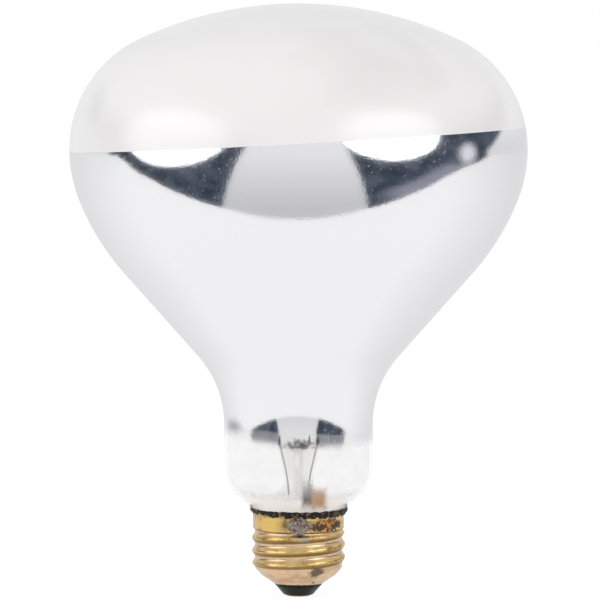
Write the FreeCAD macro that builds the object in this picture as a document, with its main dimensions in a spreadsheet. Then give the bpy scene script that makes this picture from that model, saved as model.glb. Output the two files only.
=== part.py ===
import FreeCAD, Part
import math
import os
import re

import Sketcher

# Infrared reflector lamp, 127 mm across, with a medium screw base.
# Millimetres, +Z up along the lamp's axis, origin at the tip of the centre contact.
# The front of the lamp, with the side solder joint, faces -Y.

SIZES = {
    # Blown glass envelope; the bows are shares of the height from the flare up to the widest part
    "overall_length": 165.1,
    "bulb_diameter": 127.0,
    "dome_height": 40.5,
    "shoulder_radius": 33.5,
    "flank_bow": 0.578,
    "flare_bow": 0.398,
    "flare_height": 46.75,
    "neck_diameter": 41.5,
    "neck_shoulder_height": 36.0,
    "neck_shoulder_radius": 9.5,
    "neck_cone_angle": 46.0,
    "tail_height": 18.5,
    "glass_wall": 1.0,
    # Mirror coat inside the envelope
    "coat_thickness": 0.2,
    "coat_lower_height": 44.9,
    "coat_upper_height": 127.1,
    "coat_tilt": 2.9,
    # Brass screw shell
    "base_height": 24.3,
    "thread_diameter": 26.0,
    "thread_depth": 0.84,
    "thread_pitch": 3.629,
    "thread_ridge": 3.3,
    "thread_start": 5.55,
    "thread_phase": 180.0,
    "thread_fade": 1.6,
    "shell_sheet": 0.3,
    "shell_cone_height": 8.0,
    "cone_knee_diameter": 20.6,
    "cone_knee_height": 6.0,
    "mouth_diameter": 13.7,
    "mouth_height": 3.6,
    "collar_diameter": 25.4,
    "collar_height": 19.2,
    "collar_step": 0.5,
    "lip_diameter": 26.4,
    "lip_height": 1.5,
    "lip_edge": 0.25,
    # Cement between the shell and the glass
    "cement_gap": 0.66,
    "crust_height": 0.9,
    "crust_overhang": 0.2,
    # Insulator, contact and solder at the tip
    "insulator_height": 0.35,
    "insulator_foot_diameter": 7.3,
    "insulator_rim_diameter": 9.2,
    "insulator_rim_height": 0.85,
    "contact_diameter": 6.4,
    "contact_sheet": 0.25,
    "rivet_diameter": 2.6,
    "rivet_height": 5.6,
    "tip_flat_diameter": 2.0,
    "tip_solder_diameter": 3.4,
    "tip_solder_depth": 1.4,
    # Glass stem that closes the neck and carries the filament
    "stem_wall": 0.9,
    "stem_seal_height": 3.0,
    "stem_bell_diameter": 18.4,
    "stem_bell_height": 28.0,
    "stem_bell_round": 1.6,
    "stem_waist_diameter": 7.8,
    "stem_waist_height": 31.5,
    "press_width": 12.6,
    "press_depth": 5.4,
    "press_height": 43.0,
    "press_top_height": 53.0,
    "arbor_diameter": 3.0,
    "button_diameter": 5.6,
    "button_height": 72.0,
    "button_depth": 3.2,
    "exhaust_diameter": 3.2,
    "exhaust_bore": 1.8,
    "exhaust_tip_height": 13.0,
    # Lead wires, filament and its supports
    "lead_diameter": 0.5,
    "lead_spread": 9.6,
    "lead_waist_spread": 5.0,
    "lead_crossing_height": 15.4,
    "lead_hole_height": 22.2,
    "filament_height": 88.0,
    "filament_radius": 14.0,
    "filament_diameter": 1.2,
    "support_diameter": 0.4,
    "support_rise": 5.0,
    # Side solder joint on the collar
    "solder_angle": 1.0,
    "solder_width": 6.8,
    "solder_tall": 4.8,
    "solder_stand": 1.2,
    "solder_height": 21.0,
}

# Formulas that more than one piece shares
ROOT_RADIUS = "(thread_diameter / 2 - thread_depth)"
BORE_RADIUS = f"({ROOT_RADIUS} - shell_sheet)"
TAIL_RADIUS = f"({BORE_RADIUS} - cement_gap)"
EQUATOR_HEIGHT = "(overall_length - dome_height)"
FLANK_HEIGHT = f"({EQUATOR_HEIGHT} - flare_height)"
FLANK_RADIUS = f"(flank_bow * {FLANK_HEIGHT})"
FLARE_RADIUS = f"(flare_bow * {FLANK_HEIGHT})"
CONE_RUN = "((cone_knee_diameter - mouth_diameter) / 2)"
CONE_RISE = "(cone_knee_height - mouth_height)"
CONE_WALL = f"(shell_sheet * sqrt({CONE_RUN}^2 + {CONE_RISE}^2) / {CONE_RISE})"
MOUTH_BORE_RADIUS = f"(mouth_diameter / 2 - {CONE_WALL})"
KNEE_BORE_RADIUS = f"(cone_knee_diameter / 2 - {CONE_WALL})"
NECK_RADIUS = "(neck_diameter / 2)"
TAIL_TOP_HEIGHT = (
    "(neck_shoulder_height - neck_shoulder_radius * sin(neck_cone_angle)"
    f" - ({NECK_RADIUS} - neck_shoulder_radius * (1 - cos(neck_cone_angle)) - {TAIL_RADIUS})"
    " / tan(neck_cone_angle))"
)
LIP_BASE_HEIGHT = "(base_height - lip_height)"
FACE_REACH = "(bulb_diameter / 2 - shoulder_radius)"
FACE_SPARE = "(dome_height - shoulder_radius)"
FACE_SINK = f"(({FACE_REACH}^2 - {FACE_SPARE}^2) / (2 * {FACE_SPARE}))"
SEAL_RADIUS = f"({TAIL_RADIUS} - glass_wall)"
CONTACT_HEIGHT = "(insulator_height - contact_sheet)"
RIVET_BORE_RADIUS = "(rivet_diameter / 2 - contact_sheet)"
CAP_RADIUS = "(press_width / 2 + stem_wall / 2)"
PRESS_CAP_HEIGHT = "(press_height + stem_wall)"
PORT_TOP_HEIGHT = f"({PRESS_CAP_HEIGHT} + exhaust_bore)"

# Places of the filament's corners round the axis, in degrees from +X; the gap faces the front
FILAMENT_ANGLES = (-60, 0, 60, 120, 180, 240)
SUPPORT_ANGLES = FILAMENT_ANGLES[1:-1]

# Straight facets that make up the rounded ridge of the thread
RIDGE_FACETS = 7

# A swept wire's corners are cut square, as a mitre
MITRED = 1

doc = FreeCAD.newDocument("heat_lamp")
sheet = doc.addObject("Spreadsheet::Sheet", "Sizes")
nodes = []


def fill_sheet():
    """Writes the driving dimensions to the sheet, one alias to a row."""
    for row, (alias, number) in enumerate(SIZES.items(), 1):
        sheet.set(f"A{row}", alias)
        sheet.set(f"B{row}", str(number))
        sheet.setAlias(f"B{row}", alias)
    doc.recompute()


def expression(formula):
    """Turns a formula of size names into an expression on the sheet's cells."""
    return re.sub(r"[a-z_]+", lambda word: f"Sizes.{word[0]}" if word[0] in SIZES else word[0], formula)


def number(formula):
    """The present value of a formula of size names."""
    return float(sheet.evalExpression(expression(formula)))


def point(across, up):
    """A sketch point given by two formulas."""
    return FreeCAD.Vector(number(across), number(up), 0)


def add_node(shape_object, label):
    """Keeps an object as one of the lamp's pieces, under the piece's name."""
    shape_object.Label = label
    nodes.append(shape_object)
    return shape_object


def add_body(name):
    """A new body of the document."""
    return doc.addObject("PartDesign::Body", name)


def add_sketch(body, name, role="XZ_Plane"):
    """A sketch on one of the body's own origin planes."""
    plane = next(feature for feature in body.Origin.OriginFeatures if feature.Role == role)
    sketch = body.newObject("Sketcher::SketchObject", name)
    sketch.AttachmentSupport = [(plane, "")]
    sketch.MapMode = "FlatFace"
    return sketch


def fix(sketch, kind, *where, by):
    """Adds a dimension to a sketch and binds it to a formula."""
    size = number(by)
    if kind == "Angle":
        size = math.radians(size)
    index = sketch.addConstraint(Sketcher.Constraint(kind, *where, size))
    sketch.setExpression(f"Constraints[{index}]", expression(by))


def place_point(sketch, edge, end, across, up):
    """Fixes one end of a sketch edge by its distances from the axis and from the base."""
    if across == "0":
        sketch.addConstraint(Sketcher.Constraint("PointOnObject", edge, end, -2))
    else:
        fix(sketch, "DistanceX", -1, 1, edge, end, by=across)
    if up == "0":
        sketch.addConstraint(Sketcher.Constraint("PointOnObject", edge, end, -1))
    else:
        fix(sketch, "DistanceY", -1, 1, edge, end, by=up)


def draw_polygon(sketch, corners):
    """Draws a closed outline of straight edges with every corner fixed by formulas."""
    spots = [point(*corner) for corner in corners]
    count = len(corners)
    for index, spot in enumerate(spots):
        sketch.addGeometry(Part.LineSegment(spot, spots[(index + 1) % count]), False)
    for index, corner in enumerate(corners):
        sketch.addConstraint(Sketcher.Constraint("Coincident", (index - 1) % count, 2, index, 1))
        place_point(sketch, index, 1, *corner)


def turn(body, sketch, name, kind="PartDesign::Revolution"):
    """Turns a sketch all the way round the lamp's axis, adding or cutting."""
    feature = body.newObject(kind, name)
    feature.Profile = sketch
    feature.ReferenceAxis = (sketch, ["V_Axis"])
    feature.Angle = 360
    doc.recompute()
    return feature


def turn_polygon(body, name, corners, kind="PartDesign::Revolution"):
    """Turns an outline of straight edges round the axis."""
    sketch = add_sketch(body, f"{name}_outline")
    draw_polygon(sketch, corners)
    return turn(body, sketch, name, kind)


def cut_away(base, tools, name):
    """Cuts one or more pieces out of another, so that they fit without overlap."""
    for index, tool in enumerate(tools, 1):
        cut = doc.addObject("Part::Cut", f"{name}_cut_{index}")
        cut.Base = base
        cut.Tool = tool
        base = cut
    doc.recompute()
    return base


def draw_arc(centre, start, end):
    """A sketch arc that runs anticlockwise from one point to another."""
    first = math.atan2(start.y - centre.y, start.x - centre.x)
    last = math.atan2(end.y - centre.y, end.x - centre.x)
    circle = Part.Circle(centre, FreeCAD.Vector(0, 0, 1), (start - centre).Length)
    return Part.ArcOfCircle(circle, first, last)


def direction(angle):
    """The unit vector at an angle in radians."""
    return FreeCAD.Vector(math.cos(angle), math.sin(angle), 0)


def envelope_marks(inset):
    """Points where the arcs and lines of the envelope's outline meet, inset from the outer wall."""
    wall = number(inset)
    rim = number("bulb_diameter / 2")
    shoulder, flank = number("shoulder_radius"), number(FLANK_RADIUS)
    flare, neck_round = number(FLARE_RADIUS), number("neck_shoulder_radius")
    neck, tail = number(NECK_RADIUS), number(TAIL_RADIUS)
    cone_angle = math.radians(number("neck_cone_angle"))
    equator = number(EQUATOR_HEIGHT)
    # The face's sphere is tangent to the shoulder and passes through the crown.
    reach, sink = number(FACE_REACH), number(FACE_SINK)
    face_centre = FreeCAD.Vector(0, equator - sink, 0)
    shoulder_centre = FreeCAD.Vector(reach, equator, 0)
    outwards = (shoulder_centre - face_centre).normalize()
    # The cone is the inner tangent of the flank and the flare.
    flank_centre = FreeCAD.Vector(rim - flank, equator, 0)
    flare_centre = FreeCAD.Vector(neck + flare, number("flare_height"), 0)
    between = flare_centre - flank_centre
    lean = math.atan2(between.y, between.x) + math.acos((flank + flare) / between.Length)
    neck_centre = FreeCAD.Vector(neck - neck_round, number("neck_shoulder_height"), 0)
    neck_low = neck_centre + direction(-cone_angle) * (neck_round - wall)
    drop = (neck_low.x - tail + wall) / math.tan(cone_angle)
    return {
        "face_centre": face_centre,
        "shoulder_centre": shoulder_centre,
        "flank_centre": flank_centre,
        "flare_centre": flare_centre,
        "neck_centre": neck_centre,
        "crown": FreeCAD.Vector(0, number("overall_length") - wall, 0),
        "face_edge": shoulder_centre + outwards * (shoulder - wall),
        "equator": FreeCAD.Vector(rim - wall, equator, 0),
        "flank_low": flank_centre + direction(lean) * (flank - wall),
        "flare_high": flare_centre - direction(lean) * (flare + wall),
        "neck_high": FreeCAD.Vector(neck - wall, flare_centre.y, 0),
        "neck_low": FreeCAD.Vector(neck - wall, neck_centre.y, 0),
        "neck_cone": neck_low,
        "tail_top": FreeCAD.Vector(tail - wall, neck_low.y - drop, 0),
    }


def tie(sketch, *pairs, kind):
    """Joins the ends of sketch edges, smoothly or at a corner."""
    for first, first_end, second, second_end in pairs:
        sketch.addConstraint(Sketcher.Constraint(kind, first, first_end, second, second_end))


def draw_envelope(sketch, inset, floor):
    """Draws the whole outline of the envelope, inset from its outer wall."""
    mark = envelope_marks(inset)
    tail_end = FreeCAD.Vector(mark["tail_top"].x, number(floor), 0)
    axis_end = FreeCAD.Vector(0, number(floor), 0)
    face, shoulder, flank, cone, flare, neck, neck_round, neck_cone, tail, end, axis = range(11)
    sketch.addGeometry([
        draw_arc(mark["face_centre"], mark["face_edge"], mark["crown"]),
        draw_arc(mark["shoulder_centre"], mark["equator"], mark["face_edge"]),
        draw_arc(mark["flank_centre"], mark["flank_low"], mark["equator"]),
        Part.LineSegment(mark["flank_low"], mark["flare_high"]),
        draw_arc(mark["flare_centre"], mark["flare_high"], mark["neck_high"]),
        Part.LineSegment(mark["neck_high"], mark["neck_low"]),
        draw_arc(mark["neck_centre"], mark["neck_cone"], mark["neck_low"]),
        Part.LineSegment(mark["tail_top"], mark["neck_cone"]),
        Part.LineSegment(mark["tail_top"], tail_end),
        Part.LineSegment(tail_end, axis_end),
        Part.LineSegment(axis_end, mark["crown"]),
    ], False)
    tie(sketch, (face, 1, shoulder, 2), (shoulder, 1, flank, 2), (flank, 1, cone, 1), (cone, 2, flare, 1),
        (flare, 2, neck, 1), (neck, 2, neck_round, 2), (neck_round, 1, neck_cone, 2), kind="Tangent")
    tie(sketch, (neck_cone, 1, tail, 1), (tail, 2, end, 1), (end, 2, axis, 1), (axis, 2, face, 2),
        kind="Coincident")
    tie(sketch, (shoulder, 3, shoulder, 1), kind="Horizontal")
    for edge in (neck, tail, axis):
        sketch.addConstraint(Sketcher.Constraint("Vertical", edge))
    for edge, spot in ((axis, 1), (face, 3)):
        sketch.addConstraint(Sketcher.Constraint("PointOnObject", edge, spot, -2))
    sketch.addConstraint(Sketcher.Constraint("Horizontal", end))
    fix(sketch, "Radius", shoulder, by=f"shoulder_radius - {inset}")
    fix(sketch, "Radius", flank, by=f"{FLANK_RADIUS} - {inset}")
    fix(sketch, "Radius", flare, by=f"{FLARE_RADIUS} + {inset}")
    fix(sketch, "Radius", neck_round, by=f"neck_shoulder_radius - {inset}")
    fix(sketch, "Angle", neck_cone, by="90 - neck_cone_angle")
    fix(sketch, "DistanceY", -1, 1, face, 2, by=f"overall_length - {inset}")
    place_point(sketch, shoulder, 1, f"bulb_diameter / 2 - {inset}", EQUATOR_HEIGHT)
    place_point(sketch, neck, 1, f"{NECK_RADIUS} - {inset}", "flare_height")
    fix(sketch, "DistanceY", -1, 1, neck, 2, by="neck_shoulder_height")
    fix(sketch, "DistanceX", -1, 1, tail, 1, by=f"{TAIL_RADIUS} - {inset}")
    fix(sketch, "DistanceY", -1, 1, tail, 2, by=floor)


def make_glass_bulb():
    """The envelope, blown in one piece, open only at the tail where the stem closes it."""
    body = add_body("glass_bulb_body")
    outer = add_sketch(body, "outer_outline")
    draw_envelope(outer, "0", "tail_height")
    turn(body, outer, "blown_form")
    inner = add_sketch(body, "inner_outline")
    draw_envelope(inner, "glass_wall", "(tail_height - glass_wall)")
    turn(body, inner, "hollow", "PartDesign::Groove")
    return add_node(body, "glass_bulb")


def draw_coat_side(sketch, inset, first):
    """Draws one side of the mirror coat from the neck up to the edge of the face.

    The edges get the numbers from first on: neck, flare, cone, flank and shoulder.
    """
    mark = envelope_marks(inset)
    low = FreeCAD.Vector(mark["neck_high"].x, number("coat_lower_height"), 0)
    neck, flare, cone, flank, shoulder = range(first, first + 5)
    sketch.addGeometry([
        Part.LineSegment(low, mark["neck_high"]),
        draw_arc(mark["flare_centre"], mark["flare_high"], mark["neck_high"]),
        Part.LineSegment(mark["flank_low"], mark["flare_high"]),
        draw_arc(mark["flank_centre"], mark["flank_low"], mark["equator"]),
        draw_arc(mark["shoulder_centre"], mark["equator"], mark["face_edge"]),
    ], False)
    tie(sketch, (neck, 2, flare, 2), (flare, 1, cone, 2), (cone, 1, flank, 1), (flank, 2, shoulder, 1),
        kind="Tangent")
    tie(sketch, (shoulder, 3, shoulder, 1), kind="Horizontal")
    sketch.addConstraint(Sketcher.Constraint("Vertical", neck))
    fix(sketch, "Radius", flare, by=f"{FLARE_RADIUS} + {inset}")
    fix(sketch, "Radius", flank, by=f"{FLANK_RADIUS} - {inset}")
    fix(sketch, "Radius", shoulder, by=f"shoulder_radius - {inset}")
    place_point(sketch, neck, 1, f"{NECK_RADIUS} - {inset}", "coat_lower_height")
    fix(sketch, "DistanceY", -1, 1, neck, 2, by="flare_height")
    place_point(sketch, shoulder, 1, f"bulb_diameter / 2 - {inset}", EQUATOR_HEIGHT)
    face_edge_rise = f"(shoulder_radius - {inset}) * {FACE_SINK} / sqrt({FACE_REACH}^2 + {FACE_SINK}^2)"
    fix(sketch, "DistanceY", -1, 1, shoulder, 2, by=f"{EQUATOR_HEIGHT} + {face_edge_rise}")
    return low, mark["face_edge"], neck, shoulder


def make_reflector_coating():
    """The mirror film on the inside of the flank, ended below the face by a slightly tilted edge."""
    body = add_body("coat_body")
    sketch = add_sketch(body, "coat_outline")
    outer_low, outer_top, outer_neck, outer_shoulder = draw_coat_side(sketch, "glass_wall", 0)
    inner_low, inner_top, inner_neck, inner_shoulder = draw_coat_side(sketch, "(glass_wall + coat_thickness)", 5)
    lower_end, upper_end = sketch.addGeometry([
        Part.LineSegment(outer_low, inner_low),
        Part.LineSegment(outer_top, inner_top),
    ], False)
    tie(sketch, (lower_end, 1, outer_neck, 1), (lower_end, 2, inner_neck, 1), (upper_end, 1, outer_shoulder, 2),
        (upper_end, 2, inner_shoulder, 2), kind="Coincident")
    turn(body, sketch, "film")
    above = doc.addObject("Part::Box", "above_coat")
    for side in ("Length", "Width", "Height"):
        above.setExpression(side, expression("2 * bulb_diameter"))
    tilt = FreeCAD.Rotation(FreeCAD.Vector(0, -1, 0), number("coat_tilt"))
    above.Placement = FreeCAD.Placement(FreeCAD.Vector(), tilt)
    above.setExpression("Placement.Rotation.Angle", expression("coat_tilt"))
    above.setExpression("Placement.Base.x", expression("-bulb_diameter * cos(coat_tilt)"))
    above.setExpression("Placement.Base.y", expression("-bulb_diameter"))
    above.setExpression("Placement.Base.z", expression("coat_upper_height - bulb_diameter * sin(coat_tilt)"))
    return add_node(cut_away(body, [above], "coat"), "reflector_coating")


def make_wire(label, spots, diameter):
    """A round wire of straight runs in space, mitred where it bends."""
    section = Part.Wire(Part.makeCircle(diameter / 2, spots[0], spots[1] - spots[0]))
    wire = doc.addObject("Part::Feature", f"{label}_wire")
    wire.Shape = Part.makePolygon(spots).makePipeShell([section], True, False, MITRED)
    wire.Placement = FreeCAD.Placement()
    return add_node(wire, label)


def around(radius, angle, height):
    """A point given by its distance from the axis, its angle from +X in degrees and its height."""
    return FreeCAD.Vector(radius * math.cos(math.radians(angle)), radius * math.sin(math.radians(angle)), height)


def lead_top_spots(side):
    """The stretch of a lead from its hook on the filament down to the waist of the stem.

    Side is 1 for the lead on the +X side and -1 for the other.
    """
    tip_angle = FILAMENT_ANGLES[0] if side > 0 else FILAMENT_ANGLES[-1]
    hook_height = number("filament_height - filament_diameter / 2")
    spread, waist = side * number("lead_spread / 2"), side * number("lead_waist_spread / 2")
    return [
        around(number("filament_radius"), tip_angle, hook_height),
        around(number("filament_radius"), tip_angle, number("filament_height - support_rise")),
        FreeCAD.Vector(spread, 0, number("press_top_height")),
        FreeCAD.Vector(spread, 0, number("press_height")),
        FreeCAD.Vector(waist, 0, number("stem_waist_height")),
    ]


def make_lead_wire_side():
    """The lead that leaves through the collar and is soldered to the outside of the shell."""
    gap_radius = number(f"({TAIL_RADIUS} + {BORE_RADIUS}) / 2")
    outside_radius = number("collar_diameter / 2 + lead_diameter")
    angle = number("solder_angle") - 90
    crossing, hole = number("lead_crossing_height"), number("lead_hole_height")
    spots = lead_top_spots(1) + [
        FreeCAD.Vector(number("lead_waist_spread / 2"), 0, crossing),
        around(gap_radius, angle, crossing),
        around(gap_radius, angle, hole),
        around(outside_radius, angle, hole),
        around(outside_radius, angle, number("solder_height")),
    ]
    return make_wire("lead_wire_side", spots, number("lead_diameter"))


def make_lead_wire_centre():
    """The lead that runs down the axis of the base to the centre contact."""
    spots = lead_top_spots(-1) + [
        FreeCAD.Vector(-number("lead_waist_spread / 2"), 0, number("exhaust_tip_height")),
        FreeCAD.Vector(0, 0, number("rivet_height + lead_waist_spread / 2")),
        FreeCAD.Vector(0, 0, number("insulator_height")),
    ]
    return make_wire("lead_wire_centre", spots, number("lead_diameter"))


def make_filament():
    """The coiled filament, hung in straight runs round the axis from one support to the next."""
    spots = [around(number("filament_radius"), angle, number("filament_height")) for angle in FILAMENT_ANGLES]
    return make_wire("filament", spots, number("filament_diameter"))


def make_support_wires():
    """The wires that stand out of the button and carry the filament at its corners."""
    supports = []
    root_height = number("button_height - button_depth / 2")
    for index, angle in enumerate(SUPPORT_ANGLES, 1):
        spots = [
            around(number("arbor_diameter / 2"), angle, root_height),
            around(number("button_diameter"), angle, root_height),
            around(number("filament_radius"), angle, number("filament_height - support_rise")),
            around(number("filament_radius"), angle, number("filament_height - filament_diameter / 2")),
        ]
        supports.append(make_wire(f"support_wire_{index}", spots, number("support_diameter")))
    return supports


def draw_slot(sketch, width, depth):
    """Draws a slot with round ends, centred on the axis and lying along X."""
    end_round, centre = number(depth) / 2, FreeCAD.Vector(number(f"({width} - {depth}) / 2"), 0, 0)
    side = FreeCAD.Vector(0, end_round, 0)
    right, left, back, front = range(4)
    sketch.addGeometry([
        draw_arc(centre, centre - side, centre + side),
        draw_arc(-centre, side - centre, -centre - side),
        Part.LineSegment(centre + side, side - centre),
        Part.LineSegment(-centre - side, centre - side),
    ], False)
    tie(sketch, (right, 2, back, 1), (back, 2, left, 1), (left, 2, front, 1), (front, 2, right, 1), kind="Tangent")
    sketch.addConstraint(Sketcher.Constraint("Equal", right, left))
    sketch.addConstraint(Sketcher.Constraint("Horizontal", back))
    sketch.addConstraint(Sketcher.Constraint("Symmetric", left, 3, right, 3, -1, 1))
    fix(sketch, "Radius", right, by=f"{depth} / 2")
    fix(sketch, "DistanceX", left, 3, right, 3, by=f"{width} - {depth}")


def make_glass_stem(embedded):
    """The flared stem, pressed shut round the leads, with its exhaust tube, arbor and button."""
    body = add_body("stem_body")
    waist, bell = "stem_waist_diameter / 2", "stem_bell_diameter / 2"
    seal_top = "tail_height + stem_seal_height"
    turn_polygon(body, "flare", [
        (SEAL_RADIUS, "tail_height"),
        (SEAL_RADIUS, seal_top),
        (bell, "stem_bell_height - stem_bell_round"),
        (f"{bell} - stem_bell_round", "stem_bell_height"),
        (waist, "stem_waist_height"),
        (CAP_RADIUS, "press_height"),
        (CAP_RADIUS, PRESS_CAP_HEIGHT),
        ("0", PRESS_CAP_HEIGHT),
        ("0", "press_height"),
        (f"{CAP_RADIUS} - stem_wall", "press_height"),
        (f"{waist} - stem_wall", "stem_waist_height - stem_wall"),
        (f"{bell} - stem_bell_round - stem_wall / 2", "stem_bell_height - stem_wall"),
        (f"{bell} - stem_wall", "stem_bell_height - stem_bell_round - stem_wall / 2"),
        (f"{SEAL_RADIUS} - stem_wall", seal_top),
        (f"{SEAL_RADIUS} - stem_wall", "tail_height"),
    ])
    sketch = add_sketch(body, "press_outline", "XY_Plane")
    sketch.AttachmentOffset = FreeCAD.Placement(FreeCAD.Vector(0, 0, number("press_height")), FreeCAD.Rotation())
    sketch.setExpression("AttachmentOffset.Base.z", expression("press_height"))
    draw_slot(sketch, "press_width", "press_depth")
    press = body.newObject("PartDesign::Pad", "press")
    press.Profile = sketch
    press.Length = number("press_top_height - press_height")
    press.setExpression("Length", expression("press_top_height - press_height"))
    doc.recompute()
    turn_polygon(body, "arbor", [
        ("0", "press_top_height - stem_wall"),
        ("arbor_diameter / 2", "press_top_height - stem_wall"),
        ("arbor_diameter / 2", "button_height - button_depth"),
        ("button_diameter / 2", "button_height - button_depth * 3 / 4"),
        ("button_diameter / 2", "button_height - button_depth / 4"),
        ("arbor_diameter / 2", "button_height"),
        ("0", "button_height"),
    ])
    turn_polygon(body, "exhaust_tube", [
        ("0", "exhaust_tip_height"),
        ("exhaust_diameter / 2", "exhaust_tip_height + exhaust_diameter / 2"),
        ("exhaust_diameter / 2", PRESS_CAP_HEIGHT),
        ("0", PRESS_CAP_HEIGHT),
    ])
    turn_polygon(body, "exhaust_bore", [
        ("0", "exhaust_tip_height + exhaust_diameter"),
        ("exhaust_bore / 2", "exhaust_tip_height + exhaust_diameter"),
        ("exhaust_bore / 2", PORT_TOP_HEIGHT),
        ("0", PORT_TOP_HEIGHT),
    ], "PartDesign::Groove")
    port_sketch = add_sketch(body, "exhaust_port_outline")
    port_centre = f"{PORT_TOP_HEIGHT} - exhaust_bore / 2"
    circle = Part.Circle(point("0", port_centre), FreeCAD.Vector(0, 0, 1), number("exhaust_bore / 2"))
    port_sketch.addGeometry(circle, False)
    fix(port_sketch, "Radius", 0, by="exhaust_bore / 2")
    place_point(port_sketch, 0, 3, "0", port_centre)
    port = body.newObject("PartDesign::Pocket", "exhaust_port")
    port.Profile = port_sketch
    port.Type = "ThroughAll"
    port.Midplane = True
    doc.recompute()
    return add_node(cut_away(body, embedded, "stem"), "glass_stem")


def ridge_corners():
    """Corners of the thread's section: a cosine ridge in straight facets, let into the wall."""
    inner = f"{ROOT_RADIUS} - shell_sheet / 2"
    rounded = []
    for step in range(RIDGE_FACETS + 1):
        along = f"({step} / {RIDGE_FACETS} - 1 / 2)"
        rise = f"thread_depth * (cos(180 * {along}) / cos(90 / {RIDGE_FACETS}))^2"
        rounded.append((f"{ROOT_RADIUS} + {rise}", f"thread_start + thread_ridge * {along}"))
    return [(inner, rounded[0][1])] + rounded + [(inner, rounded[-1][1])]


def make_thread():
    """The right-handed rolled thread, run out into the collar above and into the cone below."""
    body = add_body("thread_body")
    sketch = add_sketch(body, "ridge_outline")
    draw_polygon(sketch, ridge_corners())
    helix = body.newObject("PartDesign::AdditiveHelix", "ridge")
    helix.Profile = sketch
    helix.ReferenceAxis = (sketch, ["V_Axis"])
    helix.Mode = "pitch-height-angle"
    height = "collar_height + collar_step + thread_ridge / 2 - thread_start"
    for name, formula in (("Pitch", "thread_pitch"), ("Height", height)):
        setattr(helix, name, number(formula))
        helix.setExpression(name, expression(formula))
    helix.LeftHanded = False
    doc.recompute()
    clear_radius = "thread_diameter / 2 + thread_depth"
    sunk_radius = "collar_diameter / 2 - shell_sheet / 3"
    turn_polygon(body, "top_run_out", [
        (clear_radius, "collar_height - thread_fade"),
        (sunk_radius, "collar_height"),
        (sunk_radius, "base_height"),
        (clear_radius, "base_height"),
    ], "PartDesign::Groove")
    turn_polygon(body, "bottom_run_out", [
        (BORE_RADIUS, "shell_cone_height"),
        (clear_radius, "shell_cone_height + thread_fade"),
        (clear_radius, "thread_start - thread_ridge"),
        (BORE_RADIUS, "thread_start - thread_ridge"),
    ], "PartDesign::Groove")
    body.Placement = FreeCAD.Placement(FreeCAD.Vector(), FreeCAD.Rotation(number("thread_phase"), 0, 0))
    body.setExpression("Placement.Rotation.Angle", expression("thread_phase"))
    return body


def make_screw_shell(lead):
    """The brass shell: a cone turned in at a knee, the threaded wall, a plain collar and a flared lip."""
    body = add_body("shell_body")
    upper_slope = f"(shell_cone_height - cone_knee_height) / ({ROOT_RADIUS} - cone_knee_diameter / 2)"
    cone_top = f"cone_knee_height + ({BORE_RADIUS} - {KNEE_BORE_RADIUS}) * {upper_slope}"
    turn_polygon(body, "shell_section", [
        ("mouth_diameter / 2", "mouth_height"),
        ("cone_knee_diameter / 2", "cone_knee_height"),
        (ROOT_RADIUS, "shell_cone_height"),
        (ROOT_RADIUS, "collar_height - collar_step"),
        ("collar_diameter / 2", "collar_height"),
        ("collar_diameter / 2", LIP_BASE_HEIGHT),
        ("lip_diameter / 2", "base_height"),
        ("lip_diameter / 2 - lip_edge", "base_height"),
        (BORE_RADIUS, LIP_BASE_HEIGHT),
        (BORE_RADIUS, cone_top),
        (KNEE_BORE_RADIUS, "cone_knee_height"),
        (MOUTH_BORE_RADIUS, "mouth_height"),
    ])
    shell = doc.addObject("Part::Fuse", "threaded_shell")
    shell.Base = body
    shell.Tool = make_thread()
    return add_node(cut_away(shell, [lead], "shell"), "screw_shell")


def make_base_insulator():
    """The black glass button that fills the shell up to the knee and holds the contact apart from it."""
    body = add_body("insulator_body")
    turn_polygon(body, "insulator_form", [
        ("rivet_diameter / 2", "insulator_height"),
        ("insulator_foot_diameter / 2", "insulator_height"),
        ("insulator_rim_diameter / 2", "insulator_rim_height"),
        ("mouth_diameter / 2", "mouth_height"),
        (MOUTH_BORE_RADIUS, "mouth_height"),
        (KNEE_BORE_RADIUS, "cone_knee_height"),
        ("rivet_diameter / 2", "cone_knee_height"),
    ])
    return add_node(body, "base_insulator")


def make_centre_contact():
    """The brass contact disc with its tubular rivet through the insulator."""
    body = add_body("contact_body")
    turn_polygon(body, "contact_form", [
        (RIVET_BORE_RADIUS, CONTACT_HEIGHT),
        ("contact_diameter / 2", CONTACT_HEIGHT),
        ("contact_diameter / 2", "insulator_height"),
        ("rivet_diameter / 2", "insulator_height"),
        ("rivet_diameter / 2", "rivet_height"),
        (RIVET_BORE_RADIUS, "rivet_height"),
    ])
    return add_node(body, "centre_contact")


def make_centre_solder(lead):
    """The drop of solder that fills the rivet and stands out of the contact, flat at the tip."""
    body = add_body("tip_solder_body")
    turn_polygon(body, "tip_solder_form", [
        ("0", "0"),
        ("tip_flat_diameter / 2", "0"),
        ("tip_solder_diameter / 2", CONTACT_HEIGHT),
        (RIVET_BORE_RADIUS, CONTACT_HEIGHT),
        (RIVET_BORE_RADIUS, "tip_solder_depth"),
        ("0", "tip_solder_depth"),
    ])
    return add_node(cut_away(body, [lead], "tip_solder"), "centre_solder")


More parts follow.
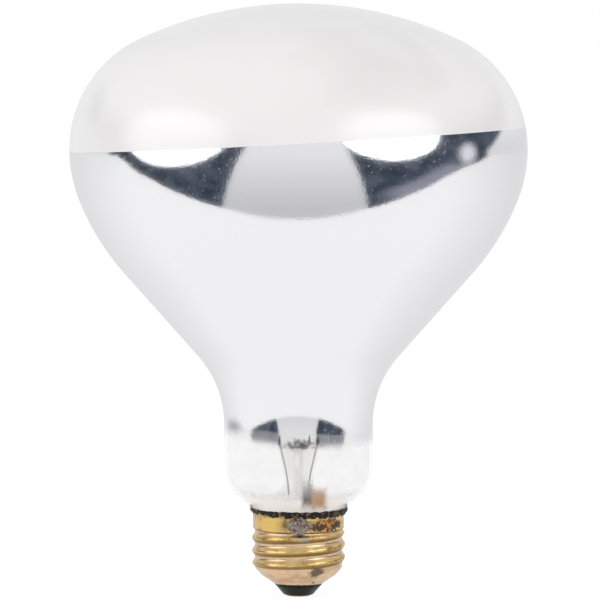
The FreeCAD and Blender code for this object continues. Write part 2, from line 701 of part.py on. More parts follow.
def make_base_cement(lead):
    """The ring of cement between the shell and the glass, with its crust over the lip."""
    body = add_body("cement_body")
    crust_top = "base_height + crust_height"
    turn_polygon(body, "cement_form", [
        (TAIL_RADIUS, "tail_height"),
        (BORE_RADIUS, "tail_height"),
        (BORE_RADIUS, LIP_BASE_HEIGHT),
        ("lip_diameter / 2 - lip_edge", "base_height"),
        ("lip_diameter / 2", "base_height"),
        ("lip_diameter / 2 + crust_overhang", "base_height + crust_height / 2"),
        (f"{TAIL_RADIUS} + ({crust_top} - {TAIL_TOP_HEIGHT}) * tan(neck_cone_angle)", crust_top),
        (TAIL_RADIUS, TAIL_TOP_HEIGHT),
    ])
    return add_node(cut_away(body, [lead], "cement"), "base_cement")


def make_side_solder(lead):
    """The blob of solder that joins the side lead to the outside of the collar and reaches up to the lip."""
    blob = doc.addObject("Part::Ellipsoid", "solder_blob")
    for name, formula in (("Radius1", "solder_tall / 2"), ("Radius2", "solder_width / 2"), ("Radius3", "solder_stand")):
        setattr(blob, name, number(formula))
        blob.setExpression(name, expression(formula))
    turned = FreeCAD.Rotation(FreeCAD.Vector(0, 0, 1), number("solder_angle"))
    blob.Placement = FreeCAD.Placement(FreeCAD.Vector(), turned)
    blob.setExpression("Placement.Rotation.Angle", expression("solder_angle"))
    blob.setExpression("Placement.Base.x", expression("collar_diameter / 2 * sin(solder_angle)"))
    blob.setExpression("Placement.Base.y", expression("-collar_diameter / 2 * cos(solder_angle)"))
    blob.setExpression("Placement.Base.z", expression("solder_height"))
    core = add_body("collar_core")
    turn_polygon(core, "collar_form", [
        ("0", "mouth_height"),
        ("collar_diameter / 2", "mouth_height"),
        ("collar_diameter / 2", LIP_BASE_HEIGHT),
        ("lip_diameter / 2", "base_height"),
        ("0", "base_height"),
    ])
    return add_node(cut_away(blob, [core, lead], "solder"), "side_solder")


def check_model():
    """Stops if any object of the document failed or any piece is not a sound solid."""
    for item in doc.Objects:
        if any(state in ("Invalid", "Error") for state in item.State):
            raise RuntimeError(f"{item.Name} failed: {item.State}")
    for node in nodes:
        if node.Shape.isNull() or not node.Shape.isValid() or not node.Shape.Solids:
            raise RuntimeError(f"{node.Label} has no sound solid")


def write_parts():
    """Writes every piece to a file of its own, named for the piece."""
    os.makedirs("parts", exist_ok=True)
    for node in nodes:
        node.Shape.exportStep(f"parts/{node.Label}.step")
        print(f"{node.Label}: {len(node.Shape.Solids)} solid, {node.Shape.Volume:.2f} mm3")


fill_sheet()
make_glass_bulb()
make_reflector_coating()
side_lead = make_lead_wire_side()
centre_lead = make_lead_wire_centre()
make_filament()
make_glass_stem([side_lead, centre_lead] + make_support_wires())
make_screw_shell(side_lead)
make_base_cement(side_lead)
make_base_insulator()
make_centre_contact()
make_centre_solder(centre_lead)
make_side_solder(side_lead)
doc.recompute()
check_model()
write_parts()
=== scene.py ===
import logging
import math
from dataclasses import dataclass, field
from enum import Enum, IntEnum
from typing import Any, Callable, Iterable, Optional, Sequence, Union

import bmesh
import bpy
from mathutils import Matrix, Vector, noise


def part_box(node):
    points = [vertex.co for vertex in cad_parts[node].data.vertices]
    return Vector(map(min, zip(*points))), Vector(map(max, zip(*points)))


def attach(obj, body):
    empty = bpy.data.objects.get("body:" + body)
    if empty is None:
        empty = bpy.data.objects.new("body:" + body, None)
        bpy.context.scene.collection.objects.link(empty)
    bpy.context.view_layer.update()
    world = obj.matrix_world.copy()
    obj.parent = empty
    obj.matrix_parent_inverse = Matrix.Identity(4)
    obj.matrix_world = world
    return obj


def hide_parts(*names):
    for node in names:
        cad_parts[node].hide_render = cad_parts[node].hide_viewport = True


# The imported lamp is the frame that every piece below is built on.
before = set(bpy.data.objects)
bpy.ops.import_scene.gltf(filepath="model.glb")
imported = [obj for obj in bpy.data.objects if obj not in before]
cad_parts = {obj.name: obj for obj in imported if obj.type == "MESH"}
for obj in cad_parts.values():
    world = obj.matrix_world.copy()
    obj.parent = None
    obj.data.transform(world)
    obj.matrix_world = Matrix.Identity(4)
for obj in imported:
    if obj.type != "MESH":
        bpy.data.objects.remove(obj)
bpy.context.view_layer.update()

MM = 0.001
AXIS = Vector((0.0, 0.0, 1.0))
ROUND_STEPS = 160
MERGE_DISTANCE = 0.002 * MM
PHOTO_PIXELS = 600
EDGE_ON = 0.7
SODA_GLASS_IOR = 1.52
log = logging.getLogger("heat_lamp")

Point = tuple[float, float]
Spot = tuple[float, float, float]
Socket = bpy.types.NodeSocket
Source = Union[float, Sequence[float], Socket]
Colour = Union[str, Socket]
Inputs = dict[Union[str, int], Source]


def linear(colour: str) -> tuple[float, float, float, float]:
    """Turns an sRGB hex colour to the linear colour that a socket takes.

    Args:
        colour: Six hex digits after a hash sign.
    Returns:
        Linear red, green and blue with an alpha of one.
    """
    levels = [int(colour[place:place + 2], 16) / 255 for place in (1, 3, 5)]
    red, green, blue = (v / 12.92 if v <= 0.04045 else ((v + 0.055) / 1.055) ** 2.4 for v in levels)
    return red, green, blue, 1.0


def add(tree: bpy.types.NodeTree, kind: str, inputs: Optional[dict[Union[str, int], Any]] = None,
        **settings: Any) -> bpy.types.Node:
    """Adds a node to a tree, with its settings, its values and its links.

    Args:
        tree: The node tree of a material or of the world.
        kind: Blender's name for the kind of node.
        inputs: What each input gets, by its name or number: a value, or another node's output to link.
        settings: The node's own properties.
    Returns:
        The new node.
    """
    node = tree.nodes.new(kind)
    for name, value in settings.items():
        setattr(node, name, value)
    for key, value in (inputs or {}).items():
        if isinstance(value, bpy.types.NodeSocket):
            tree.links.new(value, node.inputs[key])
        else:
            node.inputs[key].default_value = value
    return node


def per_millimetre(size: float) -> float:
    """The scale of a pattern on Object coordinates whose features are this many millimetres across."""
    return 1.0 / (size * MM)


@dataclass(frozen=True)
class Nodes:
    """A node tree, with short ways to add the kinds of node that are used most."""

    tree: bpy.types.NodeTree

    @classmethod
    def of(cls, owner: Union[bpy.types.Material, bpy.types.World]) -> "Nodes":
        """The emptied node tree of a material or of the world."""
        owner.use_nodes = True
        owner.node_tree.nodes.clear()
        return cls(owner.node_tree)

    def add(self, kind: str, inputs: Optional[Inputs] = None, **settings: Any) -> bpy.types.Node:
        """Adds a node with its settings, its values and its links.

        Args:
            kind: Blender's name for the kind of node.
            inputs: What each input gets, as in feed, if any.
            settings: The node's own properties.
        Returns:
            The new node.
        """
        return add(self.tree, kind, inputs, **settings)

    def feed(self, node: bpy.types.Node, inputs: Inputs) -> None:
        """Fills inputs of a node.

        Args:
            node: The node.
            inputs: What each input gets, by its name or number: a value, or another node's output to link.
        """
        for key, value in inputs.items():
            if isinstance(value, Socket):
                self.tree.links.new(value, node.inputs[key])
            else:
                node.inputs[key].default_value = value

    def place(self) -> Socket:
        """Object coordinates."""
        return self.add("ShaderNodeTexCoord").outputs["Object"]

    def parts(self, vector: Socket) -> dict[str, Socket]:
        """The parts X, Y and Z of a vector."""
        return self.add("ShaderNodeSeparateXYZ", {"Vector": vector}).outputs

    def reckon(self, operation: str, *values: Source) -> Socket:
        """The result of a sum of numbers."""
        return self.add("ShaderNodeMath", dict(enumerate(values)), operation=operation).outputs["Value"]

    def gauge(self, operation: str, *vectors: Source) -> Socket:
        """A number that is measured on vectors: a length, a distance or a dot product."""
        return self.add("ShaderNodeVectorMath", dict(enumerate(vectors)), operation=operation).outputs["Value"]

    def change(self, operation: str, *vectors: Source) -> Socket:
        """A vector that is made from others."""
        return self.add("ShaderNodeVectorMath", dict(enumerate(vectors)), operation=operation).outputs["Vector"]

    def ramp(self, value: Source, low: float, high: float, start: Source = 0.0, end: Source = 1.0,
             smooth: bool = False) -> Socket:
        """Goes from one value to another and stays level beyond them.

        Args:
            value: What the ramp follows.
            low: Where the ramp begins.
            high: Where it ends.
            start: What it gives at low.
            end: What it gives at high.
            smooth: Whether it bends gently into the level parts.
        Returns:
            The output of the ramp.
        """
        inputs = {"Value": value, "From Min": low, "From Max": high, "To Min": start, "To Max": end}
        bend = "SMOOTHSTEP" if smooth else "LINEAR"
        return self.add("ShaderNodeMapRange", inputs, interpolation_type=bend).outputs["Result"]

    def mix(self, factor: Source, first: Colour, second: Colour) -> Socket:
        """Mixes two colours.

        Args:
            factor: The share of the second colour.
            first: A hex colour or an output.
            second: Another.
        Returns:
            The mixed colour.
        """
        colours = [linear(colour) if isinstance(colour, str) else colour for colour in (first, second)]
        inputs = {"Factor": factor, "A": colours[0], "B": colours[1]}
        return self.add("ShaderNodeMix", inputs, data_type="RGBA").outputs["Result"]

    def cloud(self, place: Socket, scale: float, detail: float = 2.0, roughness: float = 0.5) -> Socket:
        """Noise from 0 to 1 on any coordinates."""
        inputs = {"Vector": place, "Scale": scale, "Detail": detail, "Roughness": roughness}
        return self.add("ShaderNodeTexNoise", inputs).outputs["Fac"]

    def bump(self, height: Socket, strength: float, distance: float) -> Socket:
        """The normal of a surface with bumps, whose full height is a distance in millimetres."""
        inputs = {"Height": height, "Strength": strength, "Distance": distance * MM}
        return self.add("ShaderNodeBump", inputs).outputs["Normal"]


def smooth_step(low: float, high: float, value: float) -> float:
    """Rises smoothly from 0 at low to 1 at high."""
    share = min(1.0, max(0.0, (value - low) / (high - low)))
    return share * share * (3.0 - 2.0 * share)


def around(radius: float, angle: float, height: float) -> Spot:
    """A point by its distance from the axis, its angle from +X in degrees and its height."""
    return radius * math.cos(math.radians(angle)), radius * math.sin(math.radians(angle)), height


@dataclass
class Outline:
    """Half a section of a turned piece: points of distance from the axis and height, in millimetres."""

    points: list[Point] = field(default_factory=list)

    def to(self, *points: Point) -> "Outline":
        """Goes on to each of these points in turn."""
        self.points.extend(points)
        return self

    def arc(self, centre: Point, radius: float, start: float, end: float, steps: int) -> "Outline":
        """Goes on along an arc.

        Args:
            centre: The arc's centre.
            radius: The arc's radius.
            start: Angle of the first point in degrees, from the outward direction.
            end: Angle of the last point.
            steps: Number of straight steps.
        Returns:
            This outline.
        """
        for step in range(steps + 1):
            angle = math.radians(start + (end - start) * step / steps)
            self.points.append((centre[0] + radius * math.cos(angle), centre[1] + radius * math.sin(angle)))
        return self

    def run(self, end: Point, steps: int) -> "Outline":
        """Goes on along a straight line in even steps.

        Args:
            end: Where the line ends.
            steps: Number of steps.
        Returns:
            This outline.
        """
        first = Vector(self.points[-1])
        for step in range(1, steps + 1):
            spot = first.lerp(Vector(end), step / steps)
            self.points.append((spot.x, spot.y))
        return self


def turn(mesh: bmesh.types.BMesh, outline: Outline, closed: bool = False, steps: int = ROUND_STEPS) -> None:
    """Turns an outline about the lamp's axis and adds the result to a mesh.

    Args:
        mesh: The mesh to add to.
        outline: The half section to turn.
        closed: Whether the outline's last point joins its first.
        steps: Number of steps in the round.
    """
    verts = [mesh.verts.new((across * MM, 0.0, up * MM)) for across, up in outline.points]
    pairs = list(zip(verts, verts[1:]))
    if closed:
        pairs.append((verts[-1], verts[0]))
    edges = [mesh.edges.new(pair) for pair in pairs]
    bmesh.ops.spin(mesh, geom=verts + edges, cent=(0, 0, 0), axis=AXIS, dvec=(0, 0, 0), angle=math.tau,
                   steps=steps, use_merge=True, use_duplicate=False)
    bmesh.ops.remove_doubles(mesh, verts=mesh.verts, dist=MERGE_DISTANCE)
    bmesh.ops.recalc_face_normals(mesh, faces=mesh.faces)


def ruffle(mesh: bmesh.types.BMesh, size: float, height: float,
           where: Callable[[Vector], float] = lambda spot: 1.0) -> None:
    """Roughens a mesh with lumps along its own normals.

    Args:
        mesh: The mesh to roughen.
        size: Distance between lumps in millimetres.
        height: The largest move in millimetres.
        where: Share of the move at a point.
    """
    mesh.normal_update()
    moves = []
    for vert in mesh.verts:
        spot = vert.co / (size * MM)
        swell = noise.noise(spot) + 0.5 * noise.noise(spot * 2.3)
        moves.append(vert.normal * (swell * height * MM * where(vert.co)))
    for vert, move in zip(mesh.verts, moves):
        vert.co += move


def add_object(name: str, data: bpy.types.Mesh, materials: Sequence[bpy.types.Material], slot: str,
               *nodes: str) -> bpy.types.Object:
    """Makes a finished mesh a piece of the lamp.

    Args:
        name: The piece's name.
        data: Its mesh, in metres in the lamp's frame.
        materials: Its materials, by the faces' material numbers.
        slot: The record's material slot; not used.
        nodes: The CAD nodes that it stands for.
    Returns:
        The new object.
    """
    data.name = name
    for material in materials:
        data.materials.append(material)
    piece = bpy.data.objects.new(name, data)
    bpy.context.scene.collection.objects.link(piece)
    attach(piece, "root")
    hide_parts(*nodes)
    log.info("%s: %d faces", name, len(data.polygons))
    return piece


def add_piece(name: str, mesh: bmesh.types.BMesh, materials: Sequence[bpy.types.Material], slot: str,
              *nodes: str) -> bpy.types.Object:
    """Makes a modelled mesh a smooth piece of the lamp, as add_object does, and frees it.

    Args:
        name: The piece's name.
        mesh: Its mesh.
        materials: Its materials.
        slot: The record's material slot; not used.
        nodes: The CAD nodes that it stands for.
    Returns:
        The new object.
    """
    for face in mesh.faces:
        face.smooth = True
    data = bpy.data.meshes.new(name)
    mesh.to_mesh(data)
    mesh.free()
    return add_object(name, data, materials, slot, *nodes)


def dress(node_name: str, material: bpy.types.Material) -> None:
    """Gives a CAD node that stays in the scene its finish.

    Args:
        node_name: The node.
        material: The finish for all of it.
    """
    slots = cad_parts[node_name].data.materials
    slots.clear()
    slots.append(material)
    log.info("%s: kept from CAD", node_name)


class Finish:
    """What all finishes share: a named material with one principled shader."""

    name: str

    def start(self) -> tuple[bpy.types.Material, Nodes, bpy.types.Node]:
        """Makes an empty material.

        Returns:
            The material, its nodes and its shader.
        """
        material = bpy.data.materials.new(self.name)
        nodes = Nodes.of(material)
        shader = nodes.add("ShaderNodeBsdfPrincipled")
        nodes.add("ShaderNodeOutputMaterial", {"Surface": shader.outputs["BSDF"]})
        return material, nodes, shader

    def clear(self, nodes: Nodes, shader: bpy.types.Node, cover: Source, edge: float) -> None:
        """Lets one see straight through thin glass, less so where something covers it or it is seen edge on.

        Args:
            nodes: The material's nodes.
            shader: Its shader.
            cover: How far the surface is covered, by haze at the least.
            edge: How solid the glass is when it is seen edge on.
        """
        slant = nodes.add("ShaderNodeLayerWeight").outputs["Facing"]
        rim = nodes.ramp(slant, EDGE_ON, 1.0, 0.0, edge)
        nodes.feed(shader, {"Alpha": nodes.reckon("MAXIMUM", cover, rim)})


class Shape(Enum):
    """Outline of a stain."""

    ROUND = "round"
    BLOCK = "block"


@dataclass(frozen=True)
class Stain:
    """A local discolouration of the object's space, soft or ragged at its edge, in millimetres."""

    centre: Spot
    radii: Spot
    colour: str
    strength: float = 1.0
    softness: float = 0.6
    ragged: float = 0.3
    grain: float = 1.2
    shape: Shape = Shape.ROUND

    def mask(self, nodes: Nodes, place: Socket) -> Socket:
        """Adds the nodes of the stain's mask.

        Args:
            nodes: The material's nodes.
            place: Object coordinates.
        Returns:
            The output that is the stain's strength inside it and 0 outside.
        """
        box = {"Location": [part * MM for part in self.centre], "Scale": [part * MM for part in self.radii]}
        inside = nodes.add("ShaderNodeMapping", {"Vector": place, **box}, vector_type="TEXTURE").outputs["Vector"]
        if self.shape is Shape.ROUND:
            reach = nodes.gauge("LENGTH", inside)
        else:
            side = nodes.parts(nodes.change("ABSOLUTE", inside))
            reach = nodes.reckon("MAXIMUM", nodes.reckon("MAXIMUM", side["X"], side["Y"]), side["Z"])
        rough = nodes.cloud(place, per_millimetre(self.grain), detail=4.0)
        shaken = nodes.reckon("MULTIPLY_ADD", rough, 2.0 * self.ragged, reach)
        edge = 1.0 + self.ragged
        return nodes.ramp(shaken, edge - self.softness, edge, self.strength, 0.0, smooth=True)


def stained(nodes: Nodes, place: Socket, colour: Socket, stains: Iterable[Stain]) -> tuple[Socket, Source]:
    """Lays stains over a colour, one after another.

    Args:
        nodes: The material's nodes.
        place: Object coordinates.
        colour: The clean colour.
        stains: The stains, the lowest first.
    Returns:
        The stained colour, and how far the stains cover the surface.
    """
    cover: Source = 0.0
    for stain in stains:
        mask = stain.mask(nodes, place)
        colour = nodes.mix(mask, colour, stain.colour)
        cover = nodes.reckon("MAXIMUM", cover, mask)
    return colour, cover


@dataclass(frozen=True)
class FrostedGlass(Finish):
    """Soda-lime glass, frosted white inside.

    The frosting scatters light evenly, so the face is a soft white on which a lamp is only a blurred glow.
    """

    name: str = "frosted_glass"
    colour: str = "#E5E3E2"
    smudge: str = "#D6D5D4"
    smudge_size: float = 45.0
    smudge_range: Point = (0.58, 0.78)
    roughness: float = 0.25
    gloss: float = 1.0
    coat: float = 0.35
    coat_ior: float = 1.8
    coat_roughness: float = 0.3
    grain_size: float = 0.5
    grain_share: float = 0.06
    grain_height: float = 0.02

    def build(self) -> bpy.types.Material:
        """Makes the material."""
        material, nodes, shader = self.start()
        place = nodes.place()
        smudged = nodes.ramp(nodes.cloud(place, per_millimetre(self.smudge_size)), *self.smudge_range)
        grain = nodes.cloud(place, per_millimetre(self.grain_size))
        nodes.feed(shader, {
            "Base Color": nodes.mix(smudged, self.colour, self.smudge),
            "Normal": nodes.bump(grain, self.grain_share, self.grain_height),
            "Roughness": self.roughness,
            "IOR": SODA_GLASS_IOR,
            "Specular IOR Level": self.gloss,
            "Coat Weight": self.coat,
            "Coat IOR": self.coat_ior,
            "Coat Roughness": self.coat_roughness,
        })
        return material


@dataclass(frozen=True)
class MirroredGlass(Finish):
    """Soda-lime glass with aluminium vapour on its inside, which thins out to clear glass in the neck.

    It is a bright mirror with fine grain and tiny sparks on the flank. Below the film's lower edge it is thin
    glass with a slight haze, behind which the stem and the leads show.
    """

    name: str = "mirrored_glass"
    film: str = "#F2F2F3"
    glass: str = "#FAF8F8"
    haze: float = 0.15
    haze_size: float = 6.0
    haze_range: Point = (0.3, 0.7)
    haze_spread: float = 0.25
    edge: float = 0.3
    veil_edge: float = 43.6
    veil_fade: float = 3.8
    veil_share: float = 0.8
    full_edge: float = 48.3
    full_fade: float = 1.0
    film_lean: float = -0.03
    film_skew: float = 0.053
    wave_size: float = 4.0
    wave_height: float = 1.6
    mirror_roughness: float = 0.1
    speck_size: float = 0.6
    speck_share: float = 0.8
    speck_height: float = 0.011
    spark_size: float = 0.4
    spark_range: Point = (0.69, 0.77)
    spark_rise: float = 1.5
    stains: tuple[Stain, ...] = ()

    def build(self) -> bpy.types.Material:
        """Makes the material."""
        material, nodes, shader = self.start()
        place = nodes.place()
        film = self.film_mask(nodes, place)
        clean = nodes.mix(film, self.glass, self.film)
        colour, cover = stained(nodes, place, clean, self.stains)
        speck = nodes.cloud(place, per_millimetre(self.speck_size), detail=1.0)
        spark = nodes.cloud(place, per_millimetre(self.spark_size))
        spike = nodes.ramp(spark, *self.spark_range, 0.0, self.spark_rise)
        grain = nodes.reckon("MULTIPLY", film, nodes.reckon("ADD", speck, spike))
        nodes.feed(shader, {
            "Base Color": colour,
            "Metallic": film,
            "Roughness": nodes.reckon("MULTIPLY", film, self.mirror_roughness),
            "Normal": nodes.bump(grain, self.speck_share, self.speck_height),
            "IOR": SODA_GLASS_IOR,
        })
        least, most = (1.0 - self.haze_spread) * self.haze, (1.0 + self.haze_spread) * self.haze
        cloud = nodes.cloud(place, per_millimetre(self.haze_size))
        faint = nodes.ramp(cloud, *self.haze_range, least, most)
        milky = nodes.ramp(film, 0.0, 1.0, faint, 1.0)
        self.clear(nodes, shader, nodes.reckon("MAXIMUM", milky, cover), self.edge)
        return material

    def film_mask(self, nodes: Nodes, place: Socket) -> Socket:
        """Adds the nodes of the film's cover.

        Args:
            nodes: The material's nodes.
            place: Object coordinates.
        Returns:
            The output that is 1 on the mirror and 0 on the clear glass.
        """
        # The film's lower edge lies a little lower at the front and is slightly uneven.
        height = nodes.gauge("DOT_PRODUCT", place, (self.film_skew, self.film_lean, 1.0))
        wave = nodes.cloud(place, per_millimetre(self.wave_size), detail=3.0)
        uneven = nodes.reckon("MULTIPLY_ADD", wave, self.wave_height * MM, height)
        # Upwards it comes in two steps, from none to a grey veil and from that to the full mirror.
        steps = []
        for edge, fade, share in ((self.veil_edge, self.veil_fade, self.veil_share),
                                  (self.full_edge, self.full_fade, 1.0 - self.veil_share)):
            steps.append(nodes.ramp(uneven, edge * MM, (edge + fade) * MM, 0.0, share, smooth=True))
        return nodes.reckon("ADD", *steps)


@dataclass(frozen=True)
class ClearGlass(Finish):
    """Lead glass tubing of the stem: thin and clear, with a faint cloud and darker outlines."""

    name: str = "stem_glass"
    colour: str = "#F7F5F2"
    cloud: str = "#E9DED6"
    cloud_size: float = 5.0
    haze: float = 0.1
    edge: float = 0.4
    roughness: float = 0.05
    ior: float = 1.55

    def build(self) -> bpy.types.Material:
        """Makes the material."""
        material, nodes, shader = self.start()
        cloud = nodes.cloud(nodes.place(), per_millimetre(self.cloud_size))
        colour = nodes.mix(cloud, self.colour, self.cloud)
        nodes.feed(shader, {"Base Color": colour, "Roughness": self.roughness, "IOR": self.ior})
        self.clear(nodes, shader, self.haze, self.edge)
        return material


@dataclass(frozen=True)
class BurntBrass(Finish):
    """Rolled brass sheet, stained by the flame that sealed the base.

    Crests keep a golden shine, roots and the lower cone are tinted rose, the lower sides of the thread are darkened
    with painted shade and burnt spots are dull brown and black.
    """

    name: str = "burnt_brass"
    gold: str = "#E2C27C"
    bronze: str = "#A9853F"
    bronze_range: Point = (0.48, 0.72)
    blotch_size: float = 3.5
    patina: str = "#8A6238"
    patina_range: Point = (0.5, 0.75)
    patina_share: float = 0.8
    streak_size: float = 4.0
    streak_flatness: float = 3.5
    rose: str = "#DCC1B0"
    rose_share: float = 0.5
    root_radius: float = 12.25
    crest_radius: float = 12.85
    # Painted shade on the thread's lower sides: its colour, its strength, the downward slopes and the radii it covers
    painted_shade: str = "#6B4A26"
    painted_shade_share: float = 0.75
    painted_shade_slope: Point = (-0.1, -0.5)
    painted_shade_radii: Point = (12.2, 12.35)
    dent_size: float = 0.7
    dent_share: float = 0.2
    dent_height: float = 0.08
    bare_roughness: float = 0.24
    burnt_roughness: float = 0.62
    tints: tuple[Stain, ...] = ()
    burns_and_shadow: tuple[Stain, ...] = ()

    def build(self) -> bpy.types.Material:
        """Makes the material."""
        material, nodes, shader = self.start()
        place = nodes.place()
        blotch = nodes.cloud(place, per_millimetre(self.blotch_size), detail=4.0, roughness=0.6)
        metal = nodes.mix(nodes.ramp(blotch, *self.bronze_range), self.gold, self.bronze)
        # Streaks of brown patina lie round the shell.
        drawn = nodes.add("ShaderNodeMapping", {"Vector": place, "Scale": (1.0, 1.0, self.streak_flatness)})
        streak = nodes.cloud(drawn.outputs["Vector"], per_millimetre(self.streak_size), detail=5.0, roughness=0.65)
        worn = nodes.ramp(streak, *self.patina_range, 0.0, self.patina_share)
        aged = nodes.mix(worn, metal, self.patina)
        radius = nodes.gauge("LENGTH", nodes.change("MULTIPLY", place, (1.0, 1.0, 0.0)))
        root = nodes.ramp(radius, self.root_radius * MM, self.crest_radius * MM, self.rose_share, 0.0, smooth=True)
        tinted = nodes.mix(root, aged, self.rose)
        # Painted shade: where the thread's surface faces downwards it is painted dark brown, as if in shade.
        facing = nodes.parts(nodes.add("ShaderNodeNewGeometry").outputs["Normal"])
        faces_down = nodes.ramp(facing["Z"], *self.painted_shade_slope, 0.0, self.painted_shade_share)
        thread = nodes.ramp(radius, self.painted_shade_radii[0] * MM, self.painted_shade_radii[1] * MM)
        with_painted_shade = nodes.mix(nodes.reckon("MULTIPLY", faces_down, thread), tinted, self.painted_shade)
        shone, _ = stained(nodes, place, with_painted_shade, self.tints)
        # Burnt spots, and the painted shadow laid with them, are a crust, not metal.
        colour, burnt = stained(nodes, place, shone, self.burns_and_shadow)
        dents = nodes.cloud(place, per_millimetre(self.dent_size), detail=3.0)
        nodes.feed(shader, {
            "Base Color": colour,
            "Metallic": nodes.reckon("SUBTRACT", 1.0, burnt),
            "Roughness": nodes.ramp(burnt, 0.0, 1.0, self.bare_roughness, self.burnt_roughness),
            "Normal": nodes.bump(dents, self.dent_share, self.dent_height),
        })
        return material


@dataclass(frozen=True)
class Crust(Finish):
    """Any dull, grainy surface of two mixed colours: burnt cement, solder, drawn wire or black glass."""

    name: str
    colour: str
    fleck: str
    fleck_size: float
    flecked: float = 0.5
    metallic: float = 0.0
    roughness: float = 0.6
    bump: float = 0.3
    gloss: float = 0.5
    bump_height: float = 0.3

    def build(self) -> bpy.types.Material:
        """Makes the material."""
        material, nodes, shader = self.start()
        fleck = nodes.cloud(nodes.place(), per_millimetre(self.fleck_size), detail=5.0, roughness=0.65)
        share = nodes.ramp(fleck, 1.0 - self.flecked, 1.15 - self.flecked)
        nodes.feed(shader, {
            "Base Color": nodes.mix(share, self.colour, self.fleck),
            "Normal": nodes.bump(fleck, self.bump, self.bump_height * self.fleck_size),
            "Metallic": self.metallic,
            "Roughness": self.roughness,
            "Specular IOR Level": self.gloss,
        })
        return material


class Char(IntEnum):
    """Material numbers of the cement's two zones."""

    BURNT = 0
    PALE = 1


class Zone(IntEnum):
    """Material numbers of the envelope's two zones."""

    FACE = 0
    FLANK = 1


